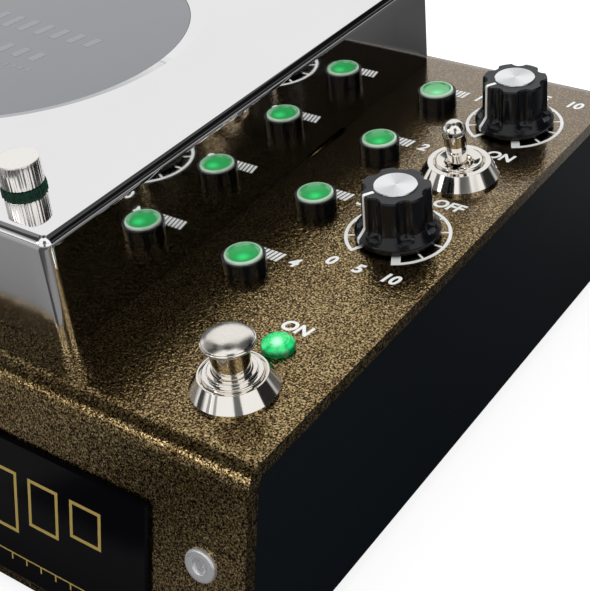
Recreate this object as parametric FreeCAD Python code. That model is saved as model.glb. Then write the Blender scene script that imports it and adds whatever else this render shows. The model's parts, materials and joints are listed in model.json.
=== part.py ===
import FreeCAD, Part
import math
import os

# A floor-standing echo unit: a folded bronze sheet case over a black tray, a mirror-bright
# cover in the middle over a magnetic drum and its heads, and a column of controls on each side.
# Millimetres. +X to the player's right, +Y to the back, +Z up. The origin is under the middle
# of the whole unit, at the height of the soles of the feet.

# Case
case_width = 250.0
panel_depth = 155.5
case_height = 50.5
face_slope = 13.8
shell_sheet = 3.0
shell_bend = 5.0
rear_lip = 8.0
tray_sheet = 2.0
tray_inset = 0.4
flange_width = 17.0
foot_height = 5.0
foot_radius = 8.0
foot_inset = 20.0
foot_draft = 1.0

# Clearances
fixed_gap = 0.2
hole_gap = 0.1
slide_gap = 0.08
running_gap = 0.04
moving_gap = 0.4
board_gap = 1.0
cut_over = 1.0

# Case screws
screw_inset = 10.0
screw_drop = 23.8
screw_radius = 2.0
screw_head_radius = 3.6
screw_head_height = 1.0
hex_socket_width = 2.0
hex_socket_depth = 0.7
screw_tail = 2.0

# Name plate on the sloping face, measured from the sides, the top fold and the foot of the face
plate_side = 22.6
plate_drop = 15.7
plate_foot = 2.9
plate_thickness = 1.2
plate_bevel = 0.4

# Control columns, measured from the sides and from the back or front edge of the panel
control_inset = 16.2
button_inset = 38.1
rear_knob_back = 26.4
front_knob_back = 80.0
toggle_back = 53.2
lamp_front = 31.1
footswitch_front = 17.2
first_button_back = 25.7
button_pitch = 26.8
button_count = 4

# Push buttons
collar_radius = 4.8
collar_wall = 0.57
collar_height = 3.8
collar_lip = 0.8
collar_lip_thickness = 1.0
cap_rim_width = 0.7
cap_dish = 0.25
cap_proud = 0.45
cap_flange_thickness = 1.0
cap_stem_radius = 2.0
cap_stem_length = 0.5
button_travel = 1.2
switch_body_size = 7.0
switch_body_height = 4.0

# Knobs and potentiometers
knob_radius = 7.6
knob_taper = 0.15
knob_edge = 0.4
knob_flute_radius = 2.2
knob_flute_depth = 1.6
knob_flute_start = 4.6
knob_flute_count = 7
knob_skirt_radius = 9.4
knob_skirt_edge = 1.9
knob_flare_height = 3.1
knob_lift = 0.5
knob_height = 12.3
knob_recess_side = 0.6
knob_recess_gap = 0.6
knob_pointer_angle = -122.0
insert_radius = 4.8
insert_depth = 1.0
insert_proud = 0.3
shaft_radius = 3.0
shaft_cover = 1.3
pot_radius = 8.0
pot_height = 8.0
pot_bushing_radius = 3.5
pot_bushing_height = 3.0
pot_nut_flats = 10.0
pot_nut_thickness = 2.0

# Footswitches
bushing_radius = 6.0
bushing_height = 4.4
bushing_lip_radius = 4.9
bushing_lip_height = 0.7
bushing_bevel = 0.4
neck_radius = 3.85
dome_radius = 5.4
dome_underside = 10.1
dome_rim = 11.1
dome_rim_thickness = 0.8
dome_top = 13.5
dome_crown_radius = 3.1
dome_crown_rise = 0.6
dome_flank_share = 0.4
dome_flank_hollow = 0.3
footswitch_travel = 2.5
footswitch_box = 17.0
footswitch_box_height = 15.0
dress_nut_height = 4.0
dress_nut_base_edge = 0.5
dress_nut_foot = 8.8
dress_nut_top = 6.9

# Toggle switch
toggle_nut_foot = 9.1
toggle_nut_top = 7.2
toggle_bushing_radius = 5.4
toggle_bushing_height = 4.5
toggle_mouth_radius = 4.7
toggle_funnel_depth = 2.2
toggle_ball_radius = 2.6
toggle_pivot_height = 0.8
toggle_lean = 10.0
lever_root_radius = 1.35
lever_shoulder_radius = 2.9
lever_shoulder = 9.5
lever_neck_radius = 2.3
lever_tip_radius = 2.6
lever_length = 14.2
lever_tail = 4.0
lever_tail_radius = 0.9
lever_pin_radius = 0.8
lever_pin_half_length = 3.6
toggle_box_width = 13.0
toggle_box_length = 14.0
toggle_box_height = 12.0

# Status lamps
lamp_radius = 3.55
lamp_edge = 0.5
lamp_shoulder = 2.1
lamp_shoulder_height = 1.1
lamp_height = 1.25
lamp_stem_radius = 2.5
lamp_stem_length = 8.0

# Bright cover, measured from the sides, the back and the front edge of the panel
cover_side = 52.1
cover_back = 5.0
cover_front = 9.9
cover_front_height = 26.3
cover_back_height = 24.8
cover_sheet = 1.5
cover_bend = 2.5
cover_lift_gap = 0.2
tab_back = 53.8
tab_length = 14.4
tab_depth = 6.0
tab_slot_outside = 1.0
tab_slot_gap = 0.4
window_radius = 43.0
window_back = 79.9
window_thickness = 3.0
window_flange = 3.0
rim_radius = 47.5
rim_height = 1.5
rim_flank = 7.0

# Thumbscrews and their posts, measured from the cover's sides and front
thumb_inset = 17.7
thumb_front = 12.85
thumb_radius = 4.45
thumb_knurls = 40
knurl_radius = 0.28
thumb_head_height = 5.6
thumb_bevel = 0.4
thumb_shank_radius = 2.0
thumb_shank_length = 14.0
washer_radius = 4.8
washer_thickness = 1.1
post_flats = 8.0
post_stud_radius = 2.0
post_bore_depth = 16.0

# Drum deck
deck_margin = 3.7
deck_sheet = 2.0
deck_overlap = 10.0
deck_screw_radius = 1.5
deck_screw_head_radius = 2.8
deck_screw_head_height = 1.6
deck_screw_slot = 0.8
deck_screw_inset = 4.5
deck_screw_angles = (45.0, 95.0, 200.0, 265.0)

# Drum, spindle and bearings
drum_radius = 37.2
band_thickness = 0.8
band_margin = 0.5
drum_height = 10.0
drum_clearance = 2.1
drum_web = 2.5
drum_rim = 4.0
drum_hub_radius = 7.0
drum_hole_radius = 6.0
drum_hole_circle = 20.0
drum_hole_count = 6
spindle_radius = 3.0
spindle_shoulder = 4.3
spindle_shoulder_height = 1.4
spindle_tail = 4.0
bearing_radius = 6.5
bearing_height = 5.0
housing_radius = 9.5
housing_flange_radius = 16.0
housing_flange_thickness = 2.5
housing_gap = 2.5
housing_bottom = -12.0
housing_screw_circle = 12.7
housing_screw_count = 3

# Motor and friction drive
drive_gap = 0.15
wheel_radius = 8.0
tyre_thickness = 2.0
wheel_lift = 0.7
wheel_height = 5.4
motor_angle = 125.0
motor_radius = 12.0
motor_height = 20.0
motor_boss_radius = 3.0
motor_shaft_radius = 1.5
motor_shaft_end = -6.0
motor_screw_circle = 8.0

# Heads
head_gap = 0.3
head_length = 10.0
head_width = 8.0
head_nose = 3.0
head_nose_width = 2.6
head_lift = 0.7
head_height = 8.4
erase_angle = 150.0
record_angle = 115.0
playback_angles = (70.0, 25.0, 335.0, 290.0)
bracket_sheet = 2.0
bracket_width = 8.0
bracket_foot = 9.0

# Sockets on the back, measured from the panel's top and sides
socket_height = 25.0
socket_inset = 33.0
socket_pitch = 26.0
plug_radius = 3.175
plug_gap = 0.1
socket_bore_depth = 26.0
socket_bushing_radius = 4.7
socket_bushing_reach = 3.0
socket_body = 16.0
socket_body_depth = 22.0
socket_nut_flats = 14.0
socket_nut_thickness = 2.2
power_bore_radius = 2.85
power_bore_depth = 9.0
power_pin_radius = 1.05
power_pin_length = 8.0
power_body_radius = 5.5
power_body_depth = 13.0
power_flange_radius = 7.0
power_flange_thickness = 1.2

# Circuit boards
board_thickness = 1.6
board_spacer_radius = 3.0
board_spacer_inset = 5.0
main_board_side = 35.0
main_board_depth = 100.0
main_board_lift = 6.0
side_board_side = 6.0
side_board_width = 45.0
side_board_front = 9.9
side_board_back = 14.0
chip_size = (16.0, 10.0, 2.0)
chip_inset = 30.0
chip_pitch = 30.0
chip_count = 4
chip_row = -40.0
capacitor_radius = 5.0
capacitor_height = 12.0
capacitor_inset = 9.0
capacitor_pitch = 13.0
capacitor_count = 3
capacitor_row = 35.0

# Worked-out places
slope = math.radians(face_slope)
panel_top = foot_height + case_height
panel_under = panel_top - shell_sheet
case_floor = foot_height
face_length = case_height / math.cos(slope)
plate_height = face_length - plate_drop - plate_foot
plate_low = plate_drop + plate_height - plate_bevel
plate_reach = plate_low * math.sin(slope) + plate_thickness * math.cos(slope)
case_reach = case_height * math.tan(slope)
front_reach = panel_depth + max(plate_reach, case_reach)
rear_y = (front_reach - socket_bushing_reach) / 2
bend_y = rear_y - panel_depth
control_x = case_width / 2 - control_inset
button_x = case_width / 2 - button_inset
last_button_y = rear_y - first_button_back - (button_count - 1) * button_pitch
drum_y = rear_y - window_back
cover_width = case_width - 2 * cover_side
cover_depth = panel_depth - cover_back - cover_front
cover_rear_y = rear_y - cover_back
cover_front_y = bend_y + cover_front
cover_foot = panel_top + cover_lift_gap
cover_fall = (cover_front_height - cover_back_height) / cover_depth
cover_tilt = math.degrees(math.atan(cover_fall))
thumb_x = cover_width / 2 - thumb_inset
thumb_y = cover_front_y + thumb_front
cap_bore = collar_radius - collar_wall
cap_radius = cap_bore - slide_gap
cap_height = collar_height + cap_proud
collar_bottom = panel_under - collar_lip_thickness
cap_flange_top = collar_bottom - hole_gap
stem_end = cap_flange_top - cap_flange_thickness - cap_stem_length
switch_top = stem_end - button_travel - moving_gap
side_board_top = switch_top - switch_body_height
side_board_outer = case_width / 2 - side_board_side
side_board_inner = side_board_outer - side_board_width
pot_top = panel_under - fixed_gap
pot_shaft_end = pot_top - pot_height / 2
shaft_reach = knob_height - insert_depth - shaft_cover
knob_recess_radius = pot_nut_flats / 2 / math.cos(math.pi / 6) + knob_recess_side
knob_recess_top = pot_bushing_height + knob_recess_gap
window_top = cover_front_height - cover_fall * (drum_y - cover_front_y)
drum_top = window_top - window_thickness - drum_clearance
drum_bottom = drum_top - drum_height
housing_top = drum_bottom - housing_gap
spindle_end = housing_bottom - spindle_tail
band_radius = drum_radius + band_thickness
head_angles = (erase_angle, record_angle) + playback_angles
deck_radius = band_radius + head_gap + head_length + bracket_sheet + deck_margin
deck_opening_radius = deck_radius - deck_overlap
deck_screw_circle = deck_radius - deck_screw_inset
head_bottom = drum_bottom + head_lift
wheel_bottom = drum_bottom + wheel_lift
wheel_distance = drum_radius - drum_rim - drive_gap - wheel_radius
wheel_x = wheel_distance * math.cos(math.radians(motor_angle))
wheel_y = drum_y + wheel_distance * math.sin(math.radians(motor_angle))
socket_x = case_width / 2 - socket_inset
second_socket_x = socket_x - socket_pitch
socket_places = (-socket_x, second_socket_x, socket_x)
power_place = -second_socket_x
socket_z = panel_top - socket_height


def box(x0, x1, y0, y1, z0, z1):
    """A block between two corners."""
    return Part.makeBox(x1 - x0, y1 - y0, z1 - z0, FreeCAD.Vector(x0, y0, z0))


def rod(radius, z0, z1, x=0.0, y=0.0):
    """An upright cylinder."""
    return Part.makeCylinder(radius, z1 - z0, FreeCAD.Vector(x, y, z0))


def tube(outer, inner, z0, z1, x=0.0, y=0.0):
    """An upright ring or sleeve."""
    return rod(outer, z0, z1, x, y).cut(rod(inner, z0, z1, x, y))


def rod_back(radius, y0, y1, x, z):
    """A cylinder that lies along Y."""
    return Part.makeCylinder(radius, y1 - y0, FreeCAD.Vector(x, y0, z), FreeCAD.Vector(0, 1, 0))


def turned(profile, x=0.0, y=0.0, z=0.0):
    """A solid turned about an upright axis from a closed outline. An entry is the (radius, height)
    that a straight stretch ends at, or an arc's middle and end: (radius, height, radius, height)."""
    here = FreeCAD.Vector(profile[0][0], 0, profile[0][1])
    edges = []
    for entry in profile[1:] + profile[:1]:
        end = FreeCAD.Vector(entry[-2], 0, entry[-1])
        if len(entry) == 4:
            middle = FreeCAD.Vector(entry[0], 0, entry[1])
            edges.append(Part.Arc(here, middle, end).toShape())
        else:
            edges.append(Part.LineSegment(here, end).toShape())
        here = end
    face = Part.Face(Part.Wire(edges))
    solid = face.revolve(FreeCAD.Vector(0, 0, 0), FreeCAD.Vector(0, 0, 1), 360)
    solid.translate(FreeCAD.Vector(x, y, z))
    return solid


def across(outline, x0, x1):
    """A solid with a (y, z) outline, drawn out from x0 to x1."""
    points = [FreeCAD.Vector(x0, y, z) for y, z in outline]
    face = Part.Face(Part.makePolygon(points + points[:1]))
    return face.extrude(FreeCAD.Vector(x1 - x0, 0, 0))


def hexagon(flats, z0, z1, x=0.0, y=0.0):
    """An upright six-sided bar."""
    corner = flats / 2 / math.cos(math.pi / 6)
    turns = [i * math.pi / 3 for i in range(6)]
    points = [FreeCAD.Vector(x + corner * math.cos(a), y + corner * math.sin(a), z0) for a in turns]
    face = Part.Face(Part.makePolygon(points + points[:1]))
    return face.extrude(FreeCAD.Vector(0, 0, z1 - z0))


def ring_places(radius, angles, x=0.0, y=0.0):
    """Points on a circle at the given angles in degrees."""
    turns = [math.radians(angle) for angle in angles]
    return [(x + radius * math.cos(a), y + radius * math.sin(a)) for a in turns]


def even_angles(count):
    """Angles that share a full turn evenly."""
    return [i * 360.0 / count for i in range(count)]


def join(shapes):
    """One solid from pieces that overlap or share a face."""
    solid = shapes[0]
    for shape in shapes[1:]:
        solid = solid.fuse(shape)
    return solid.removeSplitter()


def drill(shape, tools):
    """A solid with tools cut away."""
    for tool in tools:
        shape = shape.cut(tool)
    return shape


def group(shapes):
    """Separate solids kept together as one sub-part."""
    return Part.makeCompound(shapes)


def moved(shape, x=0.0, y=0.0, z=0.0):
    """A copy of a shape, shifted."""
    copy = shape.copy()
    copy.translate(FreeCAD.Vector(x, y, z))
    return copy


def spun(shape, angle, x=0.0, y=0.0):
    """A copy of a shape, turned about an upright axis through (x, y)."""
    copy = shape.copy()
    copy.rotate(FreeCAD.Vector(x, y, 0), FreeCAD.Vector(0, 0, 1), angle)
    return copy


def round_edges(shape, radius, wanted):
    """A solid with the edges that pass the test rounded."""
    edges = [edge for edge in shape.Edges if wanted(edge)]
    return shape.makeFillet(radius, edges)


def runs_along(edge, direction):
    """True for a straight edge along the given direction."""
    if not isinstance(edge.Curve, Part.Line):
        return False
    return abs(abs(edge.Curve.Direction.dot(direction)) - 1.0) < 1e-6


def on_face(shape):
    """Put a shape on the sloping face: it is made with X along the face, Y up it and Z out of it."""
    copy = shape.copy()
    copy.rotate(FreeCAD.Vector(0, 0, 0), FreeCAD.Vector(1, 0, 0), 90.0 - face_slope)
    copy.translate(FreeCAD.Vector(0, bend_y, panel_top))
    return copy


def on_cover_top(shape):
    """Put a shape made around the window's centre, with Z = 0 on the cover's top, in its place."""
    copy = shape.copy()
    copy.rotate(FreeCAD.Vector(0, 0, 0), FreeCAD.Vector(1, 0, 0), -cover_tilt)
    copy.translate(FreeCAD.Vector(0, drum_y, panel_top + cover_top_at(drum_y)))
    return copy


def cover_top_at(y):
    """Height of the cover's top above the panel at a distance along Y."""
    return cover_front_height - cover_fall * (y - cover_front_y)


def face_y(z):
    """Where the outside of the sloping face is at a height."""
    return bend_y - (panel_top - z) * math.tan(slope)


def case_outline(inset):
    """The case's side outline, moved in from the front, the top and the back."""
    run = inset / math.cos(slope)
    top = panel_top - inset
    return [
        (face_y(case_floor) + run, case_floor),
        (face_y(top) + run, top),
        (rear_y - inset, top),
        (rear_y - inset, case_floor),
    ]


def bent_case(inset, bend, x0, x1):
    """The case's outline as a solid, with its two top folds rounded."""
    solid = across(case_outline(inset), x0, x1)
    top = panel_top - inset
    along_x = FreeCAD.Vector(1, 0, 0)

    def is_top_fold(edge):
        return runs_along(edge, along_x) and abs(edge.CenterOfMass.z - top) < 1e-6

    return round_edges(solid, bend, is_top_fold)


def mirrored_places(x, y):
    """The same place on the left and on the right."""
    return [(-x, y), (x, y)]


def button_places(side):
    """Centres of one column of buttons, from the back to the front."""
    first = rear_y - first_button_back
    return [(side * button_x, first - i * button_pitch) for i in range(button_count)]


def all_button_places():
    return button_places(-1) + button_places(1)


def knob_places():
    """Knob centres: left rear, left front, right rear and right front."""
    rear = rear_y - rear_knob_back
    front = rear_y - front_knob_back
    return [(-control_x, rear), (-control_x, front), (control_x, rear), (control_x, front)]


def toggle_place():
    return control_x, rear_y - toggle_back


def footswitch_places():
    return mirrored_places(control_x, bend_y + footswitch_front)


def lamp_places():
    return mirrored_places(control_x, bend_y + lamp_front)


def post_places():
    return mirrored_places(thumb_x, thumb_y)


def tab_box(side, grow, outside, z0, z1):
    """The block that a cover tab, or its slot, fills on one side."""
    outer = cover_width / 2
    inner = outer - cover_sheet - grow
    middle = rear_y - tab_back
    half = tab_length / 2 + grow
    x_inner = side * inner
    x_outer = side * (outer + outside)
    return box(min(x_inner, x_outer), max(x_inner, x_outer), middle - half, middle + half, z0, z1)


def deck_bolt_places():
    return ring_places(deck_screw_circle, deck_screw_angles, 0.0, drum_y)


def housing_bolt_places():
    """The bearing housing's screws, with the motor between two of them."""
    half_step = 180.0 / housing_screw_count
    angles = [motor_angle + half_step + angle for angle in even_angles(housing_screw_count)]
    return ring_places(housing_screw_circle, angles, 0.0, drum_y)


def motor_bolt_places():
    return ring_places(motor_screw_circle, (motor_angle + 90.0, motor_angle - 90.0), wheel_x, wheel_y)


def top_shell():
    """The bronze sheet: the panel, the folded sloping face and a short lip at the back."""
    half = case_width / 2
    outer = bent_case(0.0, shell_bend, -half, half)
    inner = bent_case(shell_sheet, shell_bend - shell_sheet, -half - cut_over, half + cut_over)
    low = panel_under - cut_over
    high = panel_top + cut_over
    holes = [rod(deck_opening_radius, low, high, 0.0, drum_y)]
    holes += [rod(collar_radius + hole_gap, low, high, x, y) for x, y in all_button_places()]
    holes += [rod(pot_bushing_radius + hole_gap, low, high, x, y) for x, y in knob_places()]
    holes += [rod(bushing_radius + hole_gap, low, high, x, y) for x, y in footswitch_places()]
    holes += [rod(lamp_stem_radius + hole_gap, low, high, x, y) for x, y in lamp_places()]
    holes += [rod(post_stud_radius + hole_gap, low, high, x, y) for x, y in post_places()]
    holes += [rod(deck_screw_radius + hole_gap, low, high, x, y) for x, y in deck_bolt_places()]
    holes.append(rod(toggle_bushing_radius + hole_gap, low, high, *toggle_place()))
    holes += [tab_box(side, tab_slot_gap, tab_slot_outside, low, high) for side in (-1, 1)]
    face_hole = rod(screw_radius + hole_gap, -shell_sheet - cut_over, cut_over)
    holes += [on_face(moved(face_hole, x, -screw_drop)) for x in screw_columns()]
    reach = half + cut_over
    span = (rear_y - shell_sheet - cut_over, rear_y + cut_over)
    holes.append(box(-reach, reach, *span, case_floor - cut_over, panel_top - rear_lip))
    return drill(outer.cut(inner), holes)


def rear_panel():
    """The bronze back plate under the lip, with the holes of the sockets, the inlet and its screws."""
    half = case_width / 2
    span = (rear_y - shell_sheet, rear_y)
    plate = box(-half, half, *span, case_floor, panel_top - rear_lip - fixed_gap)
    holes = [rod_back(socket_bushing_radius + hole_gap, *span, x, socket_z) for x in socket_places]
    holes.append(rod_back(power_body_radius + hole_gap, *span, power_place, socket_z))
    holes += [rod_back(screw_radius + hole_gap, *span, x, panel_top - screw_drop) for x in screw_columns()]
    return drill(plate, holes)


def screw_columns():
    """X of the case screws on the left and on the right."""
    return [-(case_width / 2 - screw_inset), case_width / 2 - screw_inset]


def base_tray():
    """The black tray: a floor and two sides folded from one sheet, with flanges for the screws."""
    inset = shell_sheet + fixed_gap
    bend = shell_bend - shell_sheet
    outer_x = case_width / 2 - tray_inset
    inner_x = outer_x - tray_sheet
    body = bent_case(inset, bend, -outer_x, outer_x)
    room = moved(bent_case(inset - cut_over, bend, -inner_x, inner_x), 0, 0, tray_sheet)
    pieces = [body.cut(room)]
    flange_inner = outer_x - flange_width
    flange_front = inset + tray_sheet
    rear_face = rear_y - inset
    flange_top = shell_bend * 2
    face_hole = rod(screw_radius + running_gap, -flange_front - cut_over, 0, 0, -screw_drop)
    rear_span = (rear_face - tray_sheet, rear_face)
    for x in screw_columns():
        side = math.copysign(1, x)
        x0 = min(side * flange_inner, side * outer_x)
        x1 = max(side * flange_inner, side * outer_x)
        front = box(x0, x1, -face_length + tray_sheet, -flange_top, -flange_front, -inset)
        pieces.append(on_face(front.cut(moved(face_hole, x))))
        rear = box(x0, x1, *rear_span, case_floor, panel_top - flange_top)
        pieces.append(rear.cut(rod_back(screw_radius + running_gap, *rear_span, x, panel_top - screw_drop)))
    floor_limit = box(-case_width, case_width, -case_width, case_width, case_floor, panel_top)
    return join(pieces).common(floor_limit)


def case_screw():
    """One low-headed screw with a hexagon socket, head up, with the sheet's face at Z = 0."""
    grip = shell_sheet + fixed_gap + tray_sheet + screw_tail
    bevel = screw_head_height / 2
    head = turned([
        (0, 0),
        (screw_head_radius, 0),
        (screw_head_radius, screw_head_height - bevel / 2),
        (screw_head_radius - bevel, screw_head_height),
        (0, screw_head_height),
    ])
    socket_floor = screw_head_height - hex_socket_depth
    socket = hexagon(hex_socket_width, socket_floor, screw_head_height + cut_over)
    return join([head, rod(screw_radius, -grip, 0)]).cut(socket)


def case_screws():
    """Two screws in the sloping face and two in the back."""
    front = [on_face(moved(case_screw(), x, -screw_drop, 0)) for x in screw_columns()]
    rear = []
    for x in screw_columns():
        screw = case_screw()
        screw.rotate(FreeCAD.Vector(0, 0, 0), FreeCAD.Vector(1, 0, 0), -90)
        screw.translate(FreeCAD.Vector(x, rear_y, panel_top - screw_drop))
        rear.append(screw)
    return group(front + rear)


def rubber_feet():
    """Four rubber feet glued under the tray."""
    x = case_width / 2 - foot_inset
    front = face_y(case_floor) + foot_inset
    rear = rear_y - foot_inset
    profile = [(0, 0), (foot_radius - foot_draft, 0), (foot_radius, foot_height), (0, foot_height)]
    return group([turned(profile, side * x, y) for side in (-1, 1) for y in (front, rear)])


def name_plate():
    """The black plate on the sloping face, with its front edge bevelled."""
    half = case_width / 2 - plate_side
    low = -plate_drop - plate_height
    plate = box(-half, half, low, -plate_drop, 0, plate_thickness)
    edges = [edge for edge in plate.Edges if abs(edge.CenterOfMass.z - plate_thickness) < 1e-6]
    return on_face(plate.makeChamfer(plate_bevel, edges))


def cover_outline(inset):
    """The cover's side outline, moved in all round but at its open foot."""
    front = cover_front_y + inset
    rear = cover_rear_y - inset
    return [
        (front, cover_foot),
        (front, panel_top + cover_top_at(front) - inset),
        (rear, panel_top + cover_top_at(rear) - inset),
        (rear, cover_foot),
    ]


def cover_block(inset):
    """The cover's outline as a solid with its corners and top edges rounded."""
    half = cover_width / 2 - inset
    block = across(cover_outline(inset), -half, half)
    return round_edges(block, cover_bend - inset, lambda edge: edge.CenterOfMass.z > cover_foot + cover_sheet)


def bright_cover():
    """The mirror-bright cover: five sides of thin sheet, a raised rim round the window and two tabs."""
    shell = cover_block(0.0).cut(cover_block(cover_sheet))
    rim = turned([
        (window_radius, -cover_sheet / 2),
        (window_radius, 0),
        (rim_radius, rim_height),
        (rim_radius + rim_flank, 0),
        (rim_radius + rim_flank, -cover_sheet / 2),
    ])
    pieces = [shell, on_cover_top(rim)]
    pieces += [tab_box(side, 0.0, 0.0, cover_foot - tab_depth, cover_foot + cover_sheet) for side in (-1, 1)]
    above = panel_top + cover_front_height + cut_over
    holes = [on_cover_top(rod(window_radius, -cover_sheet * 2, rim_height + cut_over))]
    holes += [rod(thumb_shank_radius + fixed_gap, panel_top, above, x, y) for x, y in post_places()]
    return drill(join(pieces), holes)


def window_disc():
    """The smoked disc: flush with the cover's top, and held by a flange under it."""
    radius = window_radius - hole_gap
    flange = window_radius + window_flange
    under = -cover_sheet - hole_gap
    return on_cover_top(turned([
        (0, -window_thickness),
        (flange, -window_thickness),
        (flange, under),
        (radius, under),
        (radius, 0),
        (0, 0),
    ]))


def thumb_base():
    """Height of the cover's top under the thumbscrews."""
    return panel_top + cover_top_at(thumb_y - washer_radius) + hole_gap / 2


def thumb_washers():
    """A dark green fibre washer under each thumbscrew."""
    low = thumb_base()
    ring = (washer_radius, thumb_shank_radius + fixed_gap, low, low + washer_thickness)
    return group([tube(*ring, x, y) for x, y in post_places()])


def thumbscrew(x, y):
    """A thumbscrew: a straight-knurled head with a bevelled top and a plain shank."""
    low = thumb_base() + washer_thickness + hole_gap / 2
    high = low + thumb_head_height
    head = turned([
        (0, low),
        (thumb_radius, low),
        (thumb_radius, high - thumb_bevel),
        (thumb_radius - thumb_bevel, high),
        (0, high),
    ])
    angles = even_angles(thumb_knurls)
    grooves = [rod(knurl_radius, low, high, *place) for place in ring_places(thumb_radius, angles)]
    head = head.cut(group(grooves))
    shank = rod(thumb_shank_radius, low - thumb_shank_length, low)
    return moved(join([head, shank]), x, y)


def cover_posts():
    """Six-sided posts that stand on the panel and take the thumbscrews."""
    top = panel_top + cover_top_at(thumb_y + post_flats) - cover_sheet - moving_gap
    posts = []
    for x, y in post_places():
        post = hexagon(post_flats, panel_top, top, x, y)
        stud = rod(post_stud_radius, panel_under - screw_tail, panel_top, x, y)
        bore = rod(thumb_shank_radius + running_gap, top - post_bore_depth, top + cut_over, x, y)
        posts.append(join([post, stud]).cut(bore))
    return group(posts)


def deck_plate():
    """The round steel deck that carries the drum, the motor and the heads."""
    span = (panel_top, panel_top + deck_sheet)
    plate = rod(deck_radius, *span, 0.0, drum_y)
    holes = [rod(housing_radius + hole_gap, *span, 0.0, drum_y)]
    holes.append(rod(motor_boss_radius + hole_gap, *span, wheel_x, wheel_y))
    bolts = deck_bolt_places() + housing_bolt_places() + motor_bolt_places()
    holes += [rod(deck_screw_radius + hole_gap, *span, x, y) for x, y in bolts]
    return drill(plate, holes)


def small_screw(x, y, seat, grip):
    """A small slotted screw with its head on a seat."""
    shoulder = seat + deck_screw_head_height / 2
    top = seat + deck_screw_head_height
    head = turned([
        (0, seat),
        (deck_screw_head_radius, seat),
        (deck_screw_head_radius, shoulder),
        (deck_screw_head_radius / 2, top),
        (0, top),
    ], x, y)
    reach = deck_screw_head_radius + cut_over
    half = deck_screw_slot / 2
    slot = box(x - reach, x + reach, y - half, y + half, shoulder, top + cut_over)
    return join([head, rod(deck_screw_radius, seat - grip, seat, x, y)]).cut(slot)


def deck_screws():
    """Screws of the deck, of the bearing housing and of the motor."""
    deck_top = panel_top + deck_sheet
    flange_top = deck_top + housing_flange_thickness
    motor_grip = deck_sheet + screw_tail
    deck_grip = motor_grip + shell_sheet
    housing_grip = motor_grip + housing_flange_thickness
    screws = [small_screw(x, y, deck_top, deck_grip) for x, y in deck_bolt_places()]
    screws += [small_screw(x, y, flange_top, housing_grip) for x, y in housing_bolt_places()]
    screws += [small_screw(x, y, deck_top, motor_grip) for x, y in motor_bolt_places()]
    return group(screws)


def bearing_housing():
    """The flanged sleeve that holds the spindle's bearings."""
    sleeve_span = (panel_top + housing_bottom, panel_top + housing_top)
    flange_span = (panel_top + deck_sheet, panel_top + deck_sheet + housing_flange_thickness)
    sleeve = rod(housing_radius, *sleeve_span, 0.0, drum_y)
    flange = rod(housing_flange_radius, *flange_span, 0.0, drum_y)
    bore = rod(bearing_radius + running_gap, *sleeve_span, 0.0, drum_y)
    holes = [rod(deck_screw_radius + hole_gap, *flange_span, x, y) for x, y in housing_bolt_places()]
    return drill(join([sleeve, flange]), [bore] + holes)


def spindle_bearings():
    """One bearing at each end of the sleeve."""
    lower = panel_top + housing_bottom
    upper = panel_top + housing_top - bearing_height
    bore = spindle_radius + running_gap
    return group([tube(bearing_radius, bore, z, z + bearing_height, 0.0, drum_y) for z in (lower, upper)])


def drum_spindle():
    """The spindle, with the shoulder that rests on the upper bearing."""
    shaft = rod(spindle_radius, panel_top + spindle_end, panel_top + drum_top, 0.0, drum_y)
    seat = panel_top + housing_top + hole_gap
    shoulder = rod(spindle_shoulder, seat, seat + spindle_shoulder_height, 0.0, drum_y)
    return join([shaft, shoulder])


def memory_drum():
    """The drum: a rim, a pierced web on top and a hub."""
    low = panel_top + drum_bottom
    high = panel_top + drum_top
    blank = rod(drum_radius, low, high, 0.0, drum_y)
    hollow = tube(drum_radius - drum_rim, drum_hub_radius, low, high - drum_web, 0.0, drum_y)
    places = ring_places(drum_hole_circle, even_angles(drum_hole_count), 0.0, drum_y)
    holes = [rod(drum_hole_radius, low, high, x, y) for x, y in places]
    bore = rod(spindle_radius, low, high, 0.0, drum_y)
    return drill(blank.cut(hollow), holes + [bore])


def magnetic_band():
    """The magnetic band wound round the drum's rim."""
    low = panel_top + drum_bottom + band_margin
    high = panel_top + drum_top - band_margin
    return tube(band_radius, drum_radius, low, high, 0.0, drum_y)


def drive_motor():
    """The motor can under the deck, with the boss that its shaft turns in."""
    deck_top = panel_top + deck_sheet
    shaft_room = panel_top + motor_shaft_end - moving_gap
    can = rod(motor_radius, panel_top - motor_height, panel_top, wheel_x, wheel_y)
    boss = rod(motor_boss_radius, panel_top, deck_top, wheel_x, wheel_y)
    bore = rod(motor_shaft_radius + running_gap, shaft_room, deck_top, wheel_x, wheel_y)
    screw_hole = rod(deck_screw_radius + hole_gap, panel_top - screw_tail - cut_over, panel_top)
    holes = [moved(screw_hole, x, y) for x, y in motor_bolt_places()]
    return drill(join([can, boss]), [bore] + holes)


def motor_shaft():
    top = panel_top + wheel_bottom + wheel_height
    return rod(motor_shaft_radius, panel_top + motor_shaft_end, top, wheel_x, wheel_y)


def drive_wheel():
    """The brass wheel on the motor's shaft."""
    low = panel_top + wheel_bottom
    return tube(wheel_radius - tyre_thickness, motor_shaft_radius, low, low + wheel_height, wheel_x, wheel_y)


def drive_tyre():
    """The rubber tyre that drives the drum from inside its rim."""
    low = panel_top + wheel_bottom
    return tube(wheel_radius, wheel_radius - tyre_thickness, low, low + wheel_height, wheel_x, wheel_y)


def head_at(angle):
    """One head: a block whose nose faces the drum."""
    start = band_radius + head_gap
    half = head_width / 2
    nose = head_nose_width / 2
    outline = [
        (start, -nose),
        (start + head_nose, -half),
        (start + head_length, -half),
        (start + head_length, half),
        (start + head_nose, half),
        (start, nose),
    ]
    points = [FreeCAD.Vector(x, y, panel_top + head_bottom) for x, y in outline]
    face = Part.Face(Part.makePolygon(points + points[:1]))
    block = face.extrude(FreeCAD.Vector(0, 0, head_height))
    return moved(spun(block, angle), 0.0, drum_y)


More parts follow.
